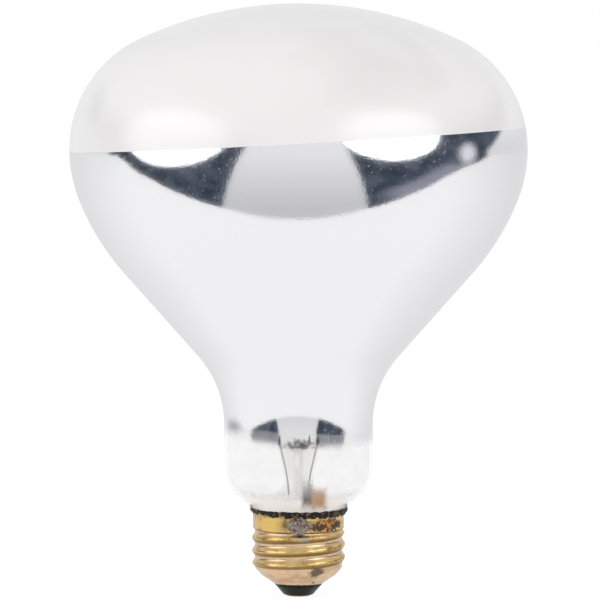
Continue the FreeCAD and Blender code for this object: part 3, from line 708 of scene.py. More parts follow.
@dataclass
class Envelope:
    """The blown glass with its mirror film. Sizes are in millimetres."""

    crown: float
    rim: float
    dome: float = 40.4
    shoulder: float = 33.8
    belly: float = 38.5
    belly_end: float = -22.0
    flank: float = 69.0
    flare: float = 29.0
    flare_height: float = 48.1
    neck: float = 20.75
    neck_shoulder_height: float = 36.0
    neck_shoulder: float = 9.5
    neck_cone: float = 46.0
    tail: float = 11.2
    tail_height: float = 18.5
    wall: float = 1.0
    film_depth: float = 0.2
    film_gap: float = 0.02
    film_low: float = 47.6
    film_high: float = 127.6
    film_tilt: float = 3.1

    @classmethod
    def from_frame(cls) -> "Envelope":
        """The envelope whose height and width are those of the CAD node."""
        _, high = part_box("glass_bulb")
        return cls(crown=high.z / MM, rim=high.x / MM)

    def flank_outline(self, outline: Outline, inset: float) -> Outline:
        """Draws the envelope from the widest part down to the neck.

        Args:
            outline: What to go on from.
            inset: Distance in from the outer wall.
        Returns:
            The outline.
        """
        belly_centre = Vector((self.rim - self.belly, self.crown - self.dome))
        outline.arc(tuple(belly_centre), self.belly - inset, 0.0, self.belly_end, 24)
        flank_centre = belly_centre - self.towards(self.belly_end) * (self.flank - self.belly)
        flare_centre = Vector((self.neck + self.flare, self.flare_height))
        between = flare_centre - flank_centre
        bend = math.acos((self.flank + self.flare) / between.length)
        lean = math.degrees(math.atan2(between.y, between.x) + bend)
        outline.arc(tuple(flank_centre), self.flank - inset, self.belly_end, lean, 24)
        outline.run(tuple(flare_centre - self.towards(lean) * (self.flare + inset)), 16)
        return outline.arc(tuple(flare_centre), self.flare + inset, lean + 180.0, 180.0, 24)

    @staticmethod
    def towards(angle: float) -> Vector:
        """The unit vector at an angle in degrees in the plane of the section."""
        return Vector((math.cos(math.radians(angle)), math.sin(math.radians(angle))))

    def outline(self, inset: float) -> Outline:
        """The whole outline from the crown to the end of the tail.

        Args:
            inset: Distance in from the outer wall.
        Returns:
            The outline.
        """
        equator = self.crown - self.dome
        reach = self.rim - self.shoulder
        spare = self.dome - self.shoulder
        sink = (reach ** 2 - spare ** 2) / (2.0 * spare)
        turn_in = math.degrees(math.atan2(sink, reach))
        outline = Outline().arc((0.0, equator - sink), self.dome + sink - inset, 90.0, turn_in, 40)
        outline.arc((reach, equator), self.shoulder - inset, turn_in, 0.0, 40)
        self.flank_outline(outline, inset)
        outline.run((self.neck - inset, self.neck_shoulder_height), 8)
        neck_centre = (self.neck - self.neck_shoulder, self.neck_shoulder_height)
        outline.arc(neck_centre, self.neck_shoulder - inset, 0.0, -self.neck_cone, 14)
        across, up = outline.points[-1]
        drop = (across - self.tail + inset) / math.tan(math.radians(self.neck_cone))
        outline.run((self.tail - inset, up - drop), 8)
        return outline.run((self.tail - inset, self.tail_height), 4)

    def film_plane(self) -> tuple[Vector, Vector]:
        """A point and the upward normal of the plane of the film's upper edge."""
        tilt = math.radians(self.film_tilt)
        return Vector((0.0, 0.0, self.film_high * MM)), Vector((-math.sin(tilt), 0.0, math.cos(tilt)))

    def build_glass(self, face: bpy.types.Material, flank: bpy.types.Material) -> None:
        """Builds the glass, with the frosted face above the film's edge.

        Args:
            face: Finish of the face.
            flank: Finish of the flank and the neck.
        """
        mesh = bmesh.new()
        section = self.outline(0.0)
        section.to(*reversed(self.outline(self.wall).points))
        turn(mesh, section)
        point, normal = self.film_plane()
        bmesh.ops.bisect_plane(mesh, geom=mesh.verts[:] + mesh.edges[:] + mesh.faces[:], dist=MERGE_DISTANCE,
                               plane_co=point, plane_no=normal)
        for surface in mesh.faces:
            above = (surface.calc_center_median() - point).dot(normal) > 0.0
            surface.material_index = Zone.FACE if above else Zone.FLANK
        add_piece("envelope", mesh, (face, flank), "bulb_glass", "glass_bulb")

    def build_film(self, film: bpy.types.Material) -> None:
        """Builds the mirror film as a thin shell inside the glass.

        Args:
            film: Its finish.
        """
        mesh = bmesh.new()
        equator = self.crown - self.dome
        sides = []
        for inset in (self.wall + self.film_gap, self.wall + self.film_depth):
            side = Outline().arc((self.rim - self.shoulder, equator), self.shoulder - inset, 30.0, 0.0, 14)
            self.flank_outline(side, inset).run((self.neck - inset, self.film_low), 3)
            sides.append(side.points)
        turn(mesh, Outline().to(*sides[0], *reversed(sides[1])), closed=True)
        point, normal = self.film_plane()
        bmesh.ops.bisect_plane(mesh, geom=mesh.verts[:] + mesh.edges[:] + mesh.faces[:], dist=MERGE_DISTANCE,
                               plane_co=point, plane_no=normal, clear_outer=True)
        rims = [edge for edge in mesh.edges if edge.is_boundary]
        bmesh.ops.bridge_loops(mesh, edges=rims)
        bmesh.ops.recalc_face_normals(mesh, faces=mesh.faces)
        add_piece("mirror_film", mesh, (film,), "mirror_film", "reflector_coating")


@dataclass
class Mount:
    """The glass stem with its wires and filament. Sizes are in millimetres."""

    seal_radius: float = 10.15
    seal_low: float = 18.5
    waist_height: float = 31.5
    press_low: float = 43.0
    press_high: float = 53.0
    press_width: float = 12.6
    press_depth: float = 5.4
    arbor_radius: float = 1.5
    exhaust_radius: float = 1.6
    exhaust_bore: float = 0.9
    exhaust_tip: float = 13.0
    lead_radius: float = 0.25
    lead_spread: float = 5.5
    waist_spread: float = 2.5
    filament_radius: float = 14.0
    filament_height: float = 88.0
    coil_radius: float = 0.5
    coil_wire: float = 0.09
    coil_pitch: float = 0.5

    def build_stem(self, glass: bpy.types.Material) -> None:
        """Builds the stem: a flared tube, pinched flat round the leads, with arbor, button and exhaust tube.

        Args:
            glass: Its finish.
        """
        mesh = bmesh.new()
        half = self.press_width / 2.0
        outer = [(self.seal_radius, self.seal_low), (self.seal_radius, 21.5), (9.2, 26.4), (7.9, 27.9), (4.3, 30.6),
                 (3.9, self.waist_height), (4.5, 36.0), (half, self.press_low), (half, self.press_high - 0.6),
                 (half - 0.6, self.press_high), (self.arbor_radius, self.press_high), (self.arbor_radius, 68.4),
                 (2.8, 69.8), (2.8, 71.0), (1.7, 72.0), (0.0, 72.0)]
        inner = [(0.0, 42.2), (5.3, 42.2), (3.7, 36.0), (3.0, self.waist_height), (3.5, 30.0), (7.1, 27.1),
                 (8.3, 26.0), (self.seal_radius - 0.9, 21.5), (self.seal_radius - 0.9, self.seal_low)]
        turn(mesh, Outline().to(*outer), steps=48)
        self.pinch(mesh)
        turn(mesh, Outline().to(*inner), steps=48)
        self.pinch(mesh)
        rims = [edge for edge in mesh.edges if edge.is_boundary]
        bmesh.ops.bridge_loops(mesh, edges=rims)
        bmesh.ops.recalc_face_normals(mesh, faces=mesh.faces)
        tube = Outline().to((0.0, self.exhaust_tip), (0.8, self.exhaust_tip + 0.3),
                            (self.exhaust_radius, self.exhaust_tip + 2.0), (self.exhaust_radius, 42.0),
                            (self.exhaust_bore, 42.0), (self.exhaust_bore, self.exhaust_tip + 3.2),
                            (0.0, self.exhaust_tip + 2.6))
        turn(mesh, tube, steps=32)
        piece = add_piece("stem", mesh, (glass,), "stem_glass", "glass_stem")
        soft = piece.modifiers.new("melted", "SUBSURF")
        soft.levels = soft.render_levels = 2

    def pinch(self, mesh: bmesh.types.BMesh) -> None:
        """Flattens the round tube above the waist to the press, and leaves what was flattened before."""
        done = mesh.verts.layers.int.get("pinched") or mesh.verts.layers.int.new("pinched")
        for vert in mesh.verts:
            height = vert.co.z / MM
            arbor = math.hypot(vert.co.x, vert.co.y) / MM < self.arbor_radius + 0.05 and height > self.press_high - 0.1
            if vert[done] or arbor or height > self.press_high + 0.1:
                continue
            share = smooth_step(self.waist_height, self.press_low, height)
            vert.co.y *= 1.0 + (self.press_depth / self.press_width - 1.0) * share
            vert[done] = 1

    def draw_wire(self, name: str, spots: Sequence[Spot], radius: float) -> bpy.types.Mesh:
        """Draws a smooth wire along control points.

        Args:
            name: Its name.
            spots: Control points in millimetres.
            radius: Radius of the wire in millimetres.
        Returns:
            The wire's mesh.
        """
        curve = bpy.data.curves.new(name, "CURVE")
        curve.dimensions = "3D"
        curve.bevel_depth = radius * MM
        curve.bevel_resolution = 2
        curve.resolution_u = 8
        curve.use_fill_caps = True
        spline = curve.splines.new("NURBS")
        spline.points.add(len(spots) - 1)
        for point, spot in zip(spline.points, spots):
            point.co = (*(part * MM for part in spot), 1.0)
        spline.order_u = 3
        spline.use_endpoint_u = True
        spline.use_smooth = True
        drawn = bpy.data.objects.new(name, curve)
        bpy.context.scene.collection.objects.link(drawn)
        depsgraph = bpy.context.evaluated_depsgraph_get()
        data = bpy.data.meshes.new_from_object(drawn.evaluated_get(depsgraph))
        bpy.data.objects.remove(drawn)
        bpy.data.curves.remove(curve)
        return data

    def lead_top(self, side: int) -> list[Spot]:
        """Control points of a lead from the filament's end down to the waist, on the side of the sign of side."""
        end = -90.0 + 30.0 * side
        spread, waist = side * self.lead_spread, side * self.waist_spread
        return [around(self.filament_radius, end, self.filament_height - 0.6),
                around(self.filament_radius, end, self.filament_height - 5.0),
                (spread, 0.0, self.press_high), (spread, 0.0, self.press_low), (waist, 0.0, self.waist_height)]

    def build_leads(self, wire: bpy.types.Material) -> None:
        """Builds the two lead wires.

        Args:
            wire: Their finish.
        """
        side = self.lead_top(1) + [(self.waist_spread, 0.0, 15.4), around(11.53, -89.0, 15.4),
                                   around(11.53, -89.0, 22.2), around(13.2, -89.0, 22.2), around(13.2, -89.0, 21.0)]
        centre = self.lead_top(-1) + [(-self.waist_spread, 0.0, 13.0), (0.0, 0.0, 8.1), (0.0, 0.0, 0.35)]
        for name, node, route in (("side_lead", "lead_wire_side", side), ("centre_lead", "lead_wire_centre", centre)):
            add_object(name, self.draw_wire(name, route, self.lead_radius), (wire,), "lead_wire", node)

    def build_filament(self, tungsten: bpy.types.Material) -> None:
        """Builds the coiled filament from corner to corner round the axis.

        Args:
            tungsten: Its finish.
        """
        corners = [Vector(around(self.filament_radius, angle, self.filament_height)) for angle in range(-60, 241, 60)]
        per_turn = 6
        turns: list[Spot] = []
        for first, last in zip(corners, corners[1:]):
            along = (last - first).normalized()
            sideways = along.cross(AXIS)
            count = int((last - first).length / self.coil_pitch) * per_turn
            for step in range(count):
                angle = math.tau * step / per_turn
                swing = sideways * math.cos(angle) + AXIS * math.sin(angle)
                turns.append(tuple(first.lerp(last, step / count) + swing * self.coil_radius))
        data = self.draw_wire("filament_coil", turns, self.coil_wire)
        add_object("filament_coil", data, (tungsten,), "filament_tungsten", "filament")

    def build_supports(self, wire: bpy.types.Material) -> None:
        """Dresses the supports that the CAD model already has in their right shape."""
        for name in ("support_wire_1", "support_wire_2", "support_wire_3", "support_wire_4"):
            dress(name, wire)


@dataclass
class ScrewBase:
    """The brass shell with its cement, insulator and solder. Sizes are in millimetres."""

    root_radius: float = 12.16
    crest_radius: float = 13.0
    pitch: float = 3.629
    ridge: float = 3.5
    crest_height: float = 5.55
    crest_angle: float = 180.0
    thread_low: float = 8.1
    thread_high: float = 19.1
    fade: float = 1.5
    sheet: float = 0.3
    mouth_radius: float = 6.85
    mouth_height: float = 3.6
    knee_radius: float = 10.3
    knee_height: float = 6.0
    cone_height: float = 8.0
    collar_radius: float = 12.7
    collar_height: float = 19.2
    lip_low: float = 22.8
    lip_high: float = 24.3
    lip_radius: float = 13.2
    bead_low: float = 22.9
    bead_high: float = 25.05
    solder_angle: float = -89.0
    solder_height: float = 21.0
    row_step: float = 0.14

    def thread_rise(self, spot: Vector) -> float:
        """How far the thread stands out of the root at a point of the wall, in millimetres."""
        height = spot.z / MM
        angle = math.degrees(math.atan2(spot.y, spot.x))
        turns = (height - self.crest_height) / self.pitch - (angle - self.crest_angle) / 360.0
        from_crest = (turns - round(turns)) * self.pitch
        if abs(from_crest) > self.ridge / 2.0:
            return 0.0
        ends = smooth_step(self.thread_low, self.thread_low + self.fade, height)
        ends *= 1.0 - smooth_step(self.thread_high - self.fade, self.thread_high, height)
        return (self.crest_radius - self.root_radius) * ends * math.cos(math.pi * from_crest / self.ridge) ** 2

    def build_shell(self, brass: bpy.types.Material) -> None:
        """Builds the shell with its rolled thread.

        Args:
            brass: Its finish.
        """
        mesh = bmesh.new()
        rows = int((self.collar_height - self.cone_height) / self.row_step)
        outline = Outline().to((self.mouth_radius, self.mouth_height))
        outline.run((self.knee_radius - 0.5, self.knee_height - 0.35), 5)
        outline.to((self.knee_radius, self.knee_height - 0.05))
        outline.run((self.root_radius - 0.3, self.cone_height - 0.33), 4)
        outline.to((self.root_radius - 0.06, self.cone_height - 0.02))
        outline.run((self.root_radius, self.cone_height + 0.15), 1)
        outline.run((self.root_radius, self.collar_height - 0.5), rows)
        outline.run((self.collar_radius - 0.1, self.collar_height - 0.1), 4)
        outline.run((self.collar_radius, self.collar_height + 0.1), 2)
        outline.run((self.collar_radius, self.lip_low), 8)
        outline.run((self.lip_radius - 0.05, self.lip_high - 0.1), 5)
        outline.run((self.lip_radius, self.lip_high), 1)
        turn(mesh, outline, steps=2 * ROUND_STEPS)
        for vert in mesh.verts:
            rise = self.thread_rise(vert.co) * MM
            radius = math.hypot(vert.co.x, vert.co.y)
            stretch = max(radius, self.root_radius * MM + rise) / radius if rise > 0.0 else 1.0
            vert.co.x *= stretch
            vert.co.y *= stretch
        if sum(face.normal.dot(face.calc_center_median()) for face in mesh.faces) < 0.0:
            bmesh.ops.reverse_faces(mesh, faces=mesh.faces)
        piece = add_piece("screw_shell_brass", mesh, (brass,), "shell_brass", "screw_shell")
        wall = piece.modifiers.new("sheet", "SOLIDIFY")
        wall.thickness = self.sheet * MM
        wall.offset = -1.0

    def build_cement(self, crust: bpy.types.Material, pale: bpy.types.Material) -> None:
        """Builds the cement between the shell and the glass, whose burnt crust hangs over the lip in a ragged bead.

        Args:
            crust: Finish of the burnt bead.
            pale: Finish of the cement behind it.
        """
        mesh = bmesh.new()
        outline = Outline().to((11.22, 18.5), (11.84, 18.5)).run((11.84, self.lip_low), 6)
        outline.to((12.75, self.bead_low + 0.1), (13.1, self.bead_low)).run((13.38, 23.6), 2)
        outline.run((13.48, 24.3), 4).run((13.45, 24.85), 3).to((13.4, self.bead_high))
        outline.run((11.22, 22.8), 8).run((11.22, 18.6), 4)
        turn(mesh, outline, closed=True, steps=3 * ROUND_STEPS)
        for vert in mesh.verts:
            height = vert.co.z / MM
            radius = math.hypot(vert.co.x, vert.co.y) / MM
            if radius < 12.6:
                continue
            angle = math.atan2(vert.co.y, vert.co.x)
            around_lip = Vector((math.cos(angle), math.sin(angle), 0.0))
            ragged = noise.noise(around_lip * 9.0) + 0.6 * noise.noise(around_lip * 27.0)
            if height < self.lip_high:
                # The bead is thinnest at the back on the left and hangs lowest at the front on the right.
                lift = 0.7 - 0.55 * math.cos(angle + math.radians(55.0)) + 0.55 * ragged
                share = 1.0 - smooth_step(self.bead_low, self.lip_high, height)
                vert.co.z += share * min(1.1, max(0.0, lift)) * MM
            elif height > self.bead_high - 0.05:
                # Its upper edge climbs the slope of the glass here and there.
                climb = max(0.0, 0.2 + 0.4 * noise.noise(around_lip * 15.0 + AXIS) - 0.2 * ragged)
                vert.co += (Vector((math.cos(angle), math.sin(angle), 1.0)) * climb) * MM
        for size, height in ((1.3, 0.32), (0.5, 0.16)):
            ruffle(mesh, size, height, lambda spot: smooth_step(12.8, 13.2, math.hypot(spot.x, spot.y) / MM))
        for surface in mesh.faces:
            spot = surface.calc_center_median()
            outer = math.hypot(spot.x, spot.y) > 13.0 * MM
            surface.material_index = Char.BURNT if outer else Char.PALE
        add_piece("cement_crust", mesh, (crust, pale), "burnt_cement", "base_cement")

    def build_insulator(self, black: bpy.types.Material) -> None:
        """Builds the black glass button.

        Args:
            black: Its finish.
        """
        mesh = bmesh.new()
        outline = Outline().to((1.3, 0.35), (3.5, 0.35)).arc((3.7, 1.15), 0.8, -90.0, -40.0, 6)
        outline.run((self.mouth_radius - 0.06, self.mouth_height - 0.08), 4)
        outline.to((self.mouth_radius - 0.14, self.mouth_height), (6.32, self.mouth_height), (9.76, 6.0), (1.3, 6.0))
        turn(mesh, outline, closed=True)
        ruffle(mesh, 3.0, 0.05, lambda spot: 1.0 - smooth_step(3.0, 3.5, spot.z / MM))
        add_piece("insulator_button", mesh, (black,), "black_glass", "base_insulator")

    def build_solder(self, solder: bpy.types.Material) -> None:
        """Builds the lump of solder on the front of the collar.

        Args:
            solder: Its finish.
        """
        mesh = bmesh.new()
        bmesh.ops.create_icosphere(mesh, subdivisions=6, radius=1.0)
        bmesh.ops.scale(mesh, vec=(3.2 * MM, 0.95 * MM, 2.3 * MM), verts=mesh.verts)
        ruffle(mesh, 1.4, 0.55)
        ruffle(mesh, 0.55, 0.16)
        angle = math.radians(self.solder_angle + 90.0)
        bmesh.ops.rotate(mesh, cent=(0, 0, 0), matrix=Matrix.Rotation(angle, 3, "Z"), verts=mesh.verts)
        outwards = Vector(around(1.0, self.solder_angle, 0.0))
        seat = outwards * (self.collar_radius - 0.1) * MM + AXIS * self.solder_height * MM
        bmesh.ops.translate(mesh, vec=seat, verts=mesh.verts)
        bmesh.ops.bisect_plane(mesh, geom=mesh.verts[:] + mesh.edges[:] + mesh.faces[:], dist=MERGE_DISTANCE,
                               plane_co=seat - outwards * 0.75 * MM, plane_no=outwards, clear_inner=True)
        bmesh.ops.holes_fill(mesh, edges=[edge for edge in mesh.edges if edge.is_boundary])
        bmesh.ops.recalc_face_normals(mesh, faces=mesh.faces)
        add_piece("solder_lump", mesh, (solder,), "solder", "side_solder")


@dataclass
class Studio:
    """Camera, table and light. Sizes are in millimetres, angles in degrees from the camera's side."""

    distance: float = 1000.0
    camera_height: float = 148.0
    aim_height: float = 82.83
    pixels_per_mm: float = 3.6
    axis_pixel: float = 298.5
    table_front: tuple[Point, ...] = ((-3000.0, 620.0), (-1320.0, 94.0), (-680.0, -46.0), (-390.0, -119.0),
                                      (-200.0, -141.0), (0.0, -148.0), (230.0, -146.0), (460.0, -125.0),
                                      (766.0, -40.0), (1840.0, 484.0), (3000.0, 1100.0))
    table_back: float = 4000.0
    box_distance: float = 700.0

    def build_camera(self) -> None:
        """Sets up the camera at the photograph's distance and height."""
        data = bpy.data.cameras.new("camera")
        data.sensor_width = 36.0
        data.lens = data.sensor_width * self.distance * self.pixels_per_mm / PHOTO_PIXELS
        data.shift_x = (PHOTO_PIXELS / 2 - self.axis_pixel) / PHOTO_PIXELS
        camera = bpy.data.objects.new("camera", data)
        camera.location = Vector((0.0, -self.distance, self.camera_height)) * MM
        aim = Vector((0.0, 0.0, self.aim_height)) * MM - camera.location
        camera.rotation_euler = aim.to_track_quat("-Z", "Y").to_euler()
        bpy.context.scene.collection.objects.link(camera)
        bpy.context.scene.camera = camera

    def build_table(self) -> None:
        """Builds the white table, whose rounded front edge passes a little before the lamp."""
        mesh = bmesh.new()
        corners = [*self.table_front, (self.table_front[-1][0], self.table_back),
                   (self.table_front[0][0], self.table_back)]
        mesh.faces.new([mesh.verts.new((x * MM, y * MM, 0.0)) for x, y in corners])
        bmesh.ops.recalc_face_normals(mesh, faces=mesh.faces)
        data = bpy.data.meshes.new("table")
        mesh.to_mesh(data)
        mesh.free()
        table = bpy.data.objects.new("table", data)
        bpy.context.scene.collection.objects.link(table)
        material = bpy.data.materials.new("white_paper")
        material.use_nodes = True
        tree = material.node_tree
        tree.nodes.clear()
        path = add(tree, "ShaderNodeLightPath")
        place = add(tree, "ShaderNodeTexCoord").outputs["Object"]
        direct = add(tree, "ShaderNodeMath", {0: path.outputs["Is Camera Ray"], 1: path.outputs["Is Transmission Ray"]},
                     operation="MAXIMUM")
        seen = add(tree, "ShaderNodeMath", {0: direct.outputs["Value"], 1: path.outputs["Is Glossy Ray"]},
                   operation="MAXIMUM")
        # Far from the lamp the paper is plain white, and near it a part of its shade is left to show the shadow.
        reach = add(tree, "ShaderNodeVectorMath", {0: place}, operation="LENGTH")
        glow = add(tree, "ShaderNodeMapRange", {"Value": reach.outputs["Value"], "From Min": 0.1, "From Max": 0.6,
                                                "To Min": 0.85, "To Max": 1.0}, interpolation_type="SMOOTHSTEP")
        share = add(tree, "ShaderNodeMath", {0: seen.outputs["Value"], 1: glow.outputs["Result"]},
                    operation="MULTIPLY")
        # In reflections the table is duller behind the lamp, most of all on the right.
        bearing = add(tree, "ShaderNodeVectorMath", {0: place}, operation="NORMALIZE")
        back = add(tree, "ShaderNodeVectorMath", {0: bearing.outputs["Vector"], 1: (0.12, 1.0, 0.0)},
                   operation="DOT_PRODUCT")
        fall = add(tree, "ShaderNodeMapRange", {"Value": back.outputs["Value"], "From Min": -0.1, "From Max": 0.9})
        dull = add(tree, "ShaderNodeMix", {"Factor": fall.outputs["Result"], "A": linear("#F6F6F7"),
                                           "B": linear("#DEDEE0")}, data_type="RGBA")
        tone = add(tree, "ShaderNodeMix", {"Factor": direct.outputs["Value"], "A": dull.outputs["Result"],
                                           "B": linear("#FFFFFF")}, data_type="RGBA")
        paper = add(tree, "ShaderNodeBsdfDiffuse", {"Color": linear("#FAFAFA")})
        white = add(tree, "ShaderNodeEmission", {"Color": tone.outputs["Result"], "Strength": 1.07})
        mixed = add(tree, "ShaderNodeMixShader", {0: share.outputs["Value"], 1: paper.outputs["BSDF"],
                                                  2: white.outputs["Emission"]})
        add(tree, "ShaderNodeOutputMaterial", {"Surface": mixed.outputs["Shader"]})
        data.materials.append(material)

    def build_lamps(self) -> None:
        """Hangs a rounded soft box to the left and one to the right of the camera."""
        for name, bearing, rise, wide, tall, level in (("box_left", -63.0, 11.5, 28.5, 20.5, 1.4),
                                                       ("box_right", 46.5, 15.0, 25.5, 20.0, 1.7)):
            data = bpy.data.lights.new(name, "AREA")
            data.shape = "ELLIPSE"
            data.size = 2.0 * self.box_distance * math.tan(math.radians(wide)) * MM
            data.size_y = 2.0 * self.box_distance * math.tan(math.radians(tall)) * MM
            data.energy = level * math.pi * math.pi * data.size * data.size_y / 4.0
            lamp = bpy.data.objects.new(name, data)
            middle = Vector((0.0, 0.0, 120.0)) * MM
            away = Vector(around(math.cos(math.radians(rise)), bearing - 90.0, math.sin(math.radians(rise))))
            lamp.location = middle + away * self.box_distance * MM
            lamp.rotation_euler = (-away).to_track_quat("-Z", "Y").to_euler()
            lamp.visible_camera = False
            bpy.context.scene.collection.objects.link(lamp)

    def build_world(self) -> None:
        """Makes the room: white for the eye, an even light, and in reflections a dark front below a pale ceiling."""
        world = bpy.data.worlds.new("room")
        world.use_nodes = True
        bpy.context.scene.world = world
        tree = world.node_tree
        tree.nodes.clear()
        ray = add(tree, "ShaderNodeTexCoord").outputs["Generated"]
        part = add(tree, "ShaderNodeSeparateXYZ", {"Vector": ray})
        # A pale card stands before the lamp, wider towards its foot and darker there.
        slant = add(tree, "ShaderNodeVectorMath", {0: ray, 1: (0.0, 0.5, 0.39)}, operation="DOT_PRODUCT")
        aside = add(tree, "ShaderNodeMath", {0: part.outputs["X"], 1: 0.03}, operation="ADD")
        across = add(tree, "ShaderNodeMath", {0: aside.outputs["Value"]}, operation="ABSOLUTE")
        off_card = add(tree, "ShaderNodeMath", {0: across.outputs["Value"], 1: slant.outputs["Value"]},
                       operation="ADD")
        card = add(tree, "ShaderNodeMapRange", {"Value": off_card.outputs["Value"], "From Min": -0.008,
                                                "From Max": 0.008, "To Min": 1.0, "To Max": 0.0})
        fall = add(tree, "ShaderNodeMapRange", {"Value": part.outputs["Z"], "From Min": -0.75, "From Max": 0.0})
        paper = add(tree, "ShaderNodeMix", {"Factor": fall.outputs["Result"], "A": linear("#C8C8CB"),
                                            "B": linear("#EEEEEF")}, data_type="RGBA")
        clutter = add(tree, "ShaderNodeTexNoise", {"Vector": ray, "Scale": 7.0, "Detail": 4.0})
        dusk = add(tree, "ShaderNodeMapRange", {"Value": clutter.outputs["Fac"], "From Min": 0.35, "From Max": 0.7})
        dark = add(tree, "ShaderNodeMix", {"Factor": dusk.outputs["Result"], "A": linear("#2F3946"),
                                           "B": linear("#5A6170")}, data_type="RGBA")
        # A grey skirting shows low on the right.
        low = add(tree, "ShaderNodeVectorMath", {0: ray, 1: (0.04, -0.665, 0.745)}, operation="DOT_PRODUCT")
        skirt = add(tree, "ShaderNodeMapRange", {"Value": low.outputs["Value"], "From Min": 0.12, "From Max": 0.04})
        right = add(tree, "ShaderNodeMapRange", {"Value": part.outputs["X"], "From Min": 0.58, "From Max": 0.75})
        below = add(tree, "ShaderNodeMapRange", {"Value": part.outputs["Z"], "From Min": -0.1, "From Max": -0.16})
        corner = add(tree, "ShaderNodeMath", {0: right.outputs["Result"], 1: below.outputs["Result"]},
                     operation="MULTIPLY")
        ledge = add(tree, "ShaderNodeMath", {0: skirt.outputs["Result"], 1: corner.outputs["Value"]},
                    operation="MULTIPLY")
        front = add(tree, "ShaderNodeMix", {"Factor": ledge.outputs["Value"], "A": dark.outputs["Result"],
                                            "B": linear("#8F919E")}, data_type="RGBA")
        # A small window shines beside it.
        miss = add(tree, "ShaderNodeVectorMath", {0: ray, 1: (0.999, 0.049, -0.019)}, operation="DISTANCE")
        pane = add(tree, "ShaderNodeMapRange", {"Value": miss.outputs["Value"], "From Min": 0.03, "From Max": 0.16,
                                                "To Min": 1.0, "To Max": 0.0}, interpolation_type="SMOOTHSTEP")
        front = add(tree, "ShaderNodeMix", {"Factor": pane.outputs["Result"], "A": front.outputs["Result"],
                                            "B": linear("#E6E6EC")}, data_type="RGBA")
        front = add(tree, "ShaderNodeMix", {"Factor": card.outputs["Result"], "A": front.outputs["Result"],
                                            "B": paper.outputs["Result"]}, data_type="RGBA")
        # The pale back of the room begins beyond both sides, on a slant.
        rise = add(tree, "ShaderNodeMath", {0: part.outputs["Z"], 1: 0.0}, operation="MAXIMUM")
        side = add(tree, "ShaderNodeMath", {0: part.outputs["X"]}, operation="ABSOLUTE")
        slope = add(tree, "ShaderNodeCombineXYZ", {"X": side.outputs["Value"], "Y": part.outputs["Y"],
                                                   "Z": rise.outputs["Value"]})
        ahead = add(tree, "ShaderNodeVectorMath", {0: slope.outputs["Vector"], 1: (0.33, -1.0, 2.0)},
                    operation="DOT_PRODUCT")
        behind = add(tree, "ShaderNodeMapRange", {"Value": ahead.outputs["Value"], "From Min": 0.04,
                                                  "From Max": -0.04})
        lift = add(tree, "ShaderNodeMapRange", {"Value": part.outputs["Z"], "From Min": 0.02, "From Max": 0.3})
        wall = add(tree, "ShaderNodeMix", {"Factor": lift.outputs["Result"], "A": linear("#E2E2E4"),
                                           "B": linear("#FCFCFD")}, data_type="RGBA")
        level = add(tree, "ShaderNodeMix", {"Factor": behind.outputs["Result"], "A": front.outputs["Result"],
                                            "B": wall.outputs["Result"]}, data_type="RGBA")
        high = add(tree, "ShaderNodeMapRange", {"Value": part.outputs["Z"], "From Min": 0.22, "From Max": 0.38})
        room = add(tree, "ShaderNodeMix", {"Factor": high.outputs["Result"], "A": level.outputs["Result"],
                                           "B": linear("#E6E6E7")}, data_type="RGBA")
        path = add(tree, "ShaderNodeLightPath")
        # The even light is a little stronger from above and from the left.
        tilt = add(tree, "ShaderNodeVectorMath", {0: ray, 1: (-0.3, 0.0, 0.35)}, operation="DOT_PRODUCT")
        strong = add(tree, "ShaderNodeMapRange", {"Value": tilt.outputs["Value"], "From Min": -0.5, "From Max": 0.5})
        even = add(tree, "ShaderNodeMix", {"Factor": strong.outputs["Result"], "A": linear("#CCCCCD"),
                                           "B": linear("#FAFAFB")}, data_type="RGBA")
        lit = add(tree, "ShaderNodeMix", {"Factor": path.outputs["Is Glossy Ray"], "A": even.outputs["Result"],
                                          "B": room.outputs["Result"]}, data_type="RGBA")
        seen = add(tree, "ShaderNodeMath", {0: path.outputs["Is Camera Ray"], 1: path.outputs["Is Transmission Ray"]},
                   operation="MAXIMUM")
        shown = add(tree, "ShaderNodeMix", {"Factor": seen.outputs["Value"], "A": lit.outputs["Result"],
                                            "B": linear("#FFFFFF")}, data_type="RGBA")
        light = add(tree, "ShaderNodeBackground", {"Color": shown.outputs["Result"], "Strength": 1.0})
        add(tree, "ShaderNodeOutputWorld", {"Surface": light.outputs["Background"]})

    def build(self) -> None:
        """Builds everything round the lamp."""
        self.build_camera()
        self.build_table()
        self.build_lamps()
        self.build_world()
        bpy.context.scene.view_settings.view_transform = "Standard"
        # The neck, the stem and its tube lie behind each other, twelve thin walls in all.
        bpy.context.scene.cycles.transparent_max_bounces = 32


